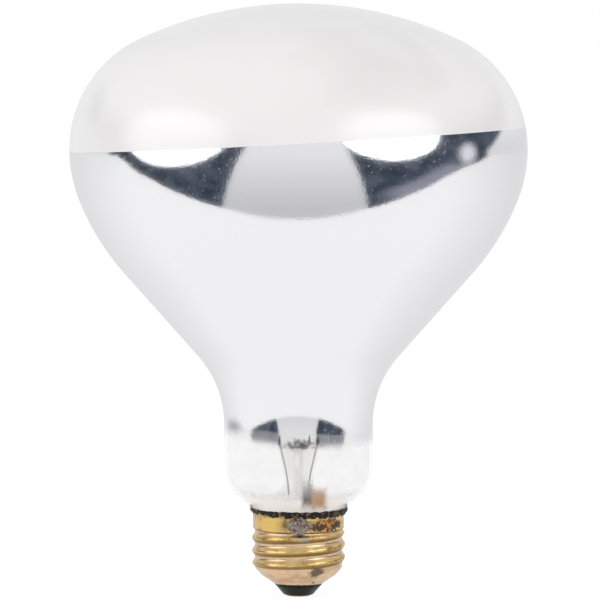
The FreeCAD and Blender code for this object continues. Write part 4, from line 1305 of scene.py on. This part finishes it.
# Marks of the neck: a grey patch of painted shade on the mirror at the left of the film's edge, residue at the film's
# edge, haze and the flame's brown tint above the base
NECK_STAINS_AND_SHADE = (
    # Painted shade: a grey patch that dims the mirror's reflection at the left
    Stain((-17.9, -10.6, 48.6), (4.6, 8.0, 3.2), "#A8A6A7", 0.9, 1.0, 0.3, 3.0),
    Stain((0.4, -20.6, 44.3), (7.2, 2.8, 2.2), "#443E38", 0.95, 1.0, 0.8, 1.0),
    Stain((-5.2, -20.0, 45.3), (0.6, 2.5, 2.8), "#3A3733", 0.85, 0.8, 0.5, 1.0),
    Stain((5.3, -20.0, 45.2), (0.6, 2.5, 2.0), "#3A3733", 0.8, 0.8, 0.5, 1.0),
    Stain((3.0, -20.6, 46.0), (0.4, 2.0, 1.8), "#4A4540", 0.85, 0.8, 0.5, 1.0),
    Stain((0.0, -26.0, 24.0), (40.0, 26.0, 8.0), "#F8F3ED", 0.88, 0.5, 0.1, 2.5, Shape.BLOCK),
    Stain((2.5, -16.0, 30.4), (2.3, 6.0, 5.6), "#5E4F44", 0.95, 0.75, 0.2, 1.5, Shape.BLOCK),
    Stain((5.6, -15.5, 29.0), (3.1, 6.0, 4.8), "#B08050", 0.95, 0.8, 0.2, 1.5, Shape.BLOCK),
    Stain((-0.4, -20.5, 40.2), (1.6, 3.0, 3.4), "#EAD3C4", 0.5, 0.9, 0.3, 2.0),
)

# Flame tints on the brass: gold on the left of the collar, blue under the solder, orange on the cone
BRASS_TINTS = (
    Stain((-8.0, -9.8, 21.0), (6.5, 5.5, 2.6), "#EAC474", 0.9, 0.5, 0.2),
    Stain((1.2, -12.6, 17.4), (3.4, 3.0, 1.2), "#9FB0B0", 0.6, 0.9, 0.3),
    Stain((-4.4, -7.5, 5.4), (3.2, 4.0, 1.2), "#D9925F", 0.8, 0.7, 0.3),
    Stain((7.5, -10.0, 20.9), (6.0, 5.0, 2.6), "#C9853C", 0.85, 0.7, 0.4),
    Stain((0.0, 0.0, 5.9), (15.0, 15.0, 2.6), "#B48F70", 0.6, 0.6, 0.8, 2.5),
)

# Burns on the brass and a painted shadow: a painted shadow at the left of the solder, burns along the collar's right
# side, and the spot and the dot on the cone
BRASS_BURNS_AND_SHADOW = (
    # Painted shadow at the left of the solder lump, not a burn
    Stain((-3.8, -12.2, 21.2), (1.6, 2.0, 2.4), "#4A3C2C", 0.85, 0.9, 0.5, 0.9),
    Stain((5.8, -11.2, 20.4), (4.4, 2.6, 1.5), "#2E1B0E", 0.95, 0.4, 1.4, 1.0),
    Stain((10.4, -7.4, 20.6), (3.4, 3.4, 1.6), "#2E1B0E", 0.95, 0.5, 1.5, 1.0),
    Stain((8.8, -9.0, 22.3), (4.2, 3.0, 0.9), "#5A3518", 0.9, 0.6, 1.5, 0.8),
    Stain((5.0, -10.9, 8.0), (2.7, 3.4, 2.0), "#4A3C2E", 0.9, 0.5, 0.6, 0.9),
    Stain((4.1, -7.2, 4.5), (0.5, 1.5, 0.4), "#2A2019", 0.9, 0.6, 0.5, 0.5),
)


def main() -> None:
    """Builds the lamp, then its studio."""
    envelope = Envelope.from_frame()
    envelope.build_glass(FrostedGlass().build(), MirroredGlass(stains=NECK_STAINS_AND_SHADE).build())
    # Vapour-deposited aluminium: a clean mirror with a trace of grain
    film = Crust("aluminium_film", "#EDEDEE", "#E2E2E4", 2.0, metallic=1.0, roughness=0.12, bump=0.02)
    envelope.build_film(film.build())

    mount = Mount()
    mount.build_stem(ClearGlass().build())
    # Nickel-plated copper wire, dulled by the sealing flame
    mount.build_leads(Crust("lead_wire", "#A0958B", "#8A7868", 1.0, metallic=0.6, roughness=0.45).build())
    # Drawn tungsten, dull grey
    mount.build_filament(Crust("tungsten", "#55565A", "#6A6B70", 0.5, metallic=1.0, roughness=0.45).build())
    # Drawn molybdenum, a little brighter than the tungsten
    mount.build_supports(Crust("molybdenum", "#8A8B8F", "#9A9BA0", 0.8, metallic=1.0, roughness=0.4).build())

    base = ScrewBase()
    base.build_shell(BurntBrass(tints=BRASS_TINTS, burns_and_shadow=BRASS_BURNS_AND_SHADOW).build())
    # Basing cement, charred black, with paler flecks painted in as glints
    crust = Crust("charred_cement", "#0C0907", "#8A7052", 0.9, 0.47, roughness=0.4, bump=1.0, gloss=0.25)
    # The same cement out of the flame's reach, still the colour of sand
    pale = Crust("pale_cement", "#EFE6DC", "#DCCFC0", 0.8, roughness=0.8, bump=0.4)
    base.build_cement(crust.build(), pale.build())
    # Vitrite, a fused black glass with a low gloss
    base.build_insulator(Crust("black_vitrite", "#0C0C0D", "#161617", 1.6, roughness=0.35, bump=0.06, gloss=0.2).build())
    # Tin-lead solder, lumpy and dull
    solder = Crust("solder", "#978C83", "#453B34", 0.8, 0.5, metallic=0.85, roughness=0.38, bump=0.6).build()
    base.build_solder(solder)
    dress("centre_solder", solder)
    # Stamped brass, satin
    dress("centre_contact", Crust("contact_brass", "#C7A35A", "#B08A44", 1.5, metallic=1.0, roughness=0.3).build())

    Studio().build()


if __name__ == "__main__":
    logging.basicConfig(level=logging.INFO)
    main()
